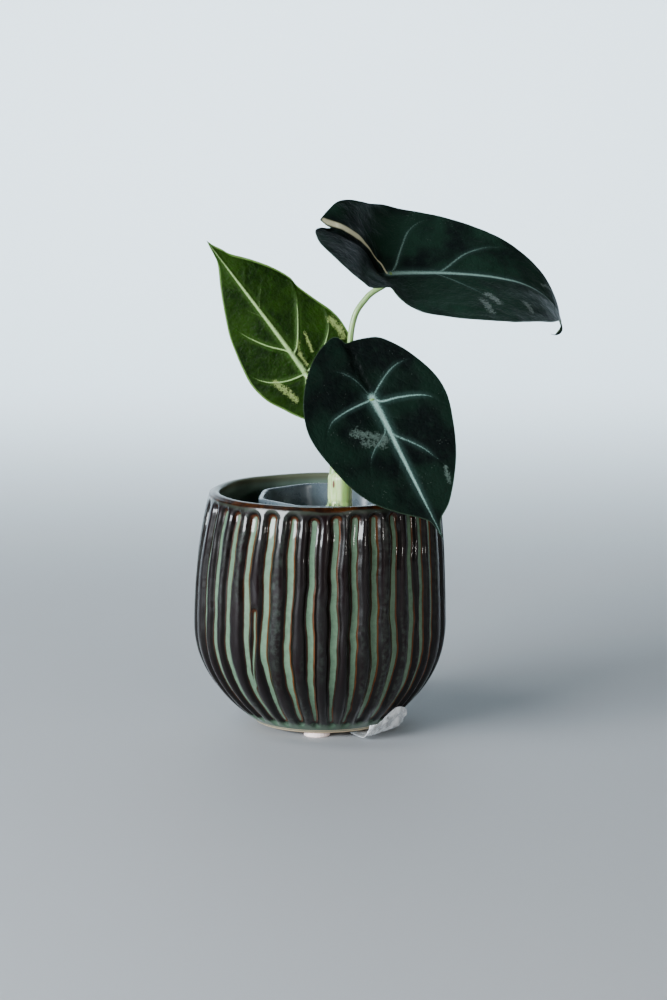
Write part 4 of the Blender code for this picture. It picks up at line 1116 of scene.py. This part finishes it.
def stalkPaint():
    paint = Paint("pale_stalk", Roughness=0.36, Subsurface_Weight=0.12, Subsurface_Scale=0.002)
    spot = paint.place()
    fibre = paint.speckle(paint.stretch(spot, (1, 1, 0.10)), 1100.0, 3.0)
    cloud = paint.speckle(spot, 110.0, 3.0)
    run = paint.attribute("run")
    base = paint.mix(paint.range(fibre, 0.3, 0.7), (0.13, 0.23, 0.065), (0.21, 0.33, 0.12))
    base = paint.mix(paint.range(cloud, 0.45, 0.75, 0.0, 0.5), base, (0.26, 0.37, 0.16))
    base = paint.mix(paint.range(run, 0.85, 1.0, 0.0, 0.5), base, (0.12, 0.21, 0.06))
    paint.set("Base Color", base)
    paint.set("Normal", paint.relief(fibre, 0.2, 0.0003))
    return paint.material


stalkMaterial = stalkPaint()
for stalkKey, stalkData in stalks.items():
    place(makeStalk(stalkKey, stalkData), "petiole_" + stalkKey)
print("stalks made")


# floor with a curved back, lights and camera

studio = {
    "floorTone": (0.28, 0.29, 0.30), "backTone": (0.78, 0.84, 0.88),
    "elevation": 9.3, "distance": 1.232, "lens": 100.0, "target": (0.006, 0.0, 0.101),
    # name, place, what it points at, size, watts, colour, spread in degrees
    "lights": [
        ("window light", (-1.06, -0.83, 0.44), (0, 0, 0.11), (0.90, 0.34), 66.0, (0.88, 0.94, 1.0), 180.0),
        ("high light", (-0.75, -0.25, 1.30), (0, 0, 0.1), (0.5, 0.5), 9.0, (0.95, 0.98, 1.0), 180.0),
        ("back wash", (0.0, 0.75, 1.9), (0, 1.95, 0.30), (2.6, 0.5), 60.0, (0.78, 0.92, 1.0), 120.0),
    ],
    # small lamps that sparkle in the glaze: degrees round from the front, degrees up, watts
    "sparkles": [(18.0, 12.0, 2.0), (30.0, 5.0, 1.6), (44.0, 14.0, 2.0), (60.0, 8.0, 1.6)],
    "sparkleSize": (0.050, 0.080), "sparkleReach": 1.25, "sparkleAim": (0, 0, 0.09),
    "room": (0.75, 0.82, 0.90), "roomLight": 0.07, "roomSeen": 0.75,
}


def makeFloor():
    lines = [(-1.6, 0.0), (1.3, 0.0)]
    lines += [(1.3 + 0.7 * math.sin(a), 0.7 - 0.7 * math.cos(a)) for a in np.linspace(0.1, math.pi / 2, 14)]
    lines += [(2.0, 2.6)]
    points = [(x, y, z) for y, z in lines for x in (-2.4, 2.4)]
    faces = [(2 * i, 2 * i + 1, 2 * i + 3, 2 * i + 2) for i in range(len(lines) - 1)]
    paint = Paint("pale_floor", Roughness=0.7, Specular_IOR_Level=0.2)
    grain = paint.speckle(paint.place(), 240.0, 3.0)
    depth = paint.node("SeparateXYZ", Vector=paint.place())
    tone = paint.mix(paint.range(depth.outputs["Y"], 0.25, 1.3), studio["floorTone"], studio["backTone"])
    paint.set("Base Color", tone)
    paint.set("Normal", paint.relief(grain, 0.05, 0.0003))
    floor = makeMesh("studio_floor", points, faces, None, [paint.material])


def areaLight(name, spot, aim, size, power, tone, spread):
    light = bpy.data.lights.new(name, "AREA")
    light.spread = math.radians(spread)
    light.shape = "RECTANGLE"
    light.size, light.size_y = size
    light.energy = power
    light.color = tone
    lamp = bpy.data.objects.new(name, light)
    bpy.context.scene.collection.objects.link(lamp)
    lamp.location = spot
    lamp.rotation_euler = (Vector(aim) - Vector(spot)).to_track_quat("-Z", "Y").to_euler()


makeFloor()
for light in studio["lights"]:
    areaLight(*light)
for turn, tilt, power in studio["sparkles"]:
    a, b = math.radians(turn), math.radians(tilt)
    aim = Vector(studio["sparkleAim"])
    spot = Vector((math.sin(a), -math.cos(a), math.tan(b))) * studio["sparkleReach"] + aim
    areaLight("small light %d" % turn, spot, aim, studio["sparkleSize"], power, (1.0, 0.98, 0.94), 180.0)
world = bpy.data.worlds.new("dim room")
world.use_nodes = True
room, links = world.node_tree.nodes, world.node_tree.links
room["Background"].inputs[0].default_value = (*studio["room"], 1.0)
shade = room.new("ShaderNodeMapRange")                     # pale where it is looked at, dim as a light
shade.inputs["To Min"].default_value = studio["roomLight"]
shade.inputs["To Max"].default_value = studio["roomSeen"]
links.new(room.new("ShaderNodeLightPath").outputs["Is Camera Ray"], shade.inputs["Value"])
links.new(shade.outputs["Result"], room["Background"].inputs[1])
bpy.context.scene.world = world

lift = math.radians(studio["elevation"])
target = Vector(studio["target"]) + Vector(plantAxis)
camera = bpy.data.objects.new("camera", bpy.data.cameras.new("camera"))
bpy.context.scene.collection.objects.link(camera)
camera.location = target + studio["distance"] * Vector((0.0, -math.cos(lift), math.sin(lift)))
camera.rotation_euler = (target - camera.location).to_track_quat("-Z", "Y").to_euler()
camera.data.sensor_fit = "VERTICAL"
camera.data.sensor_height = 36.0
camera.data.lens = studio["lens"]
bpy.context.scene.camera = camera
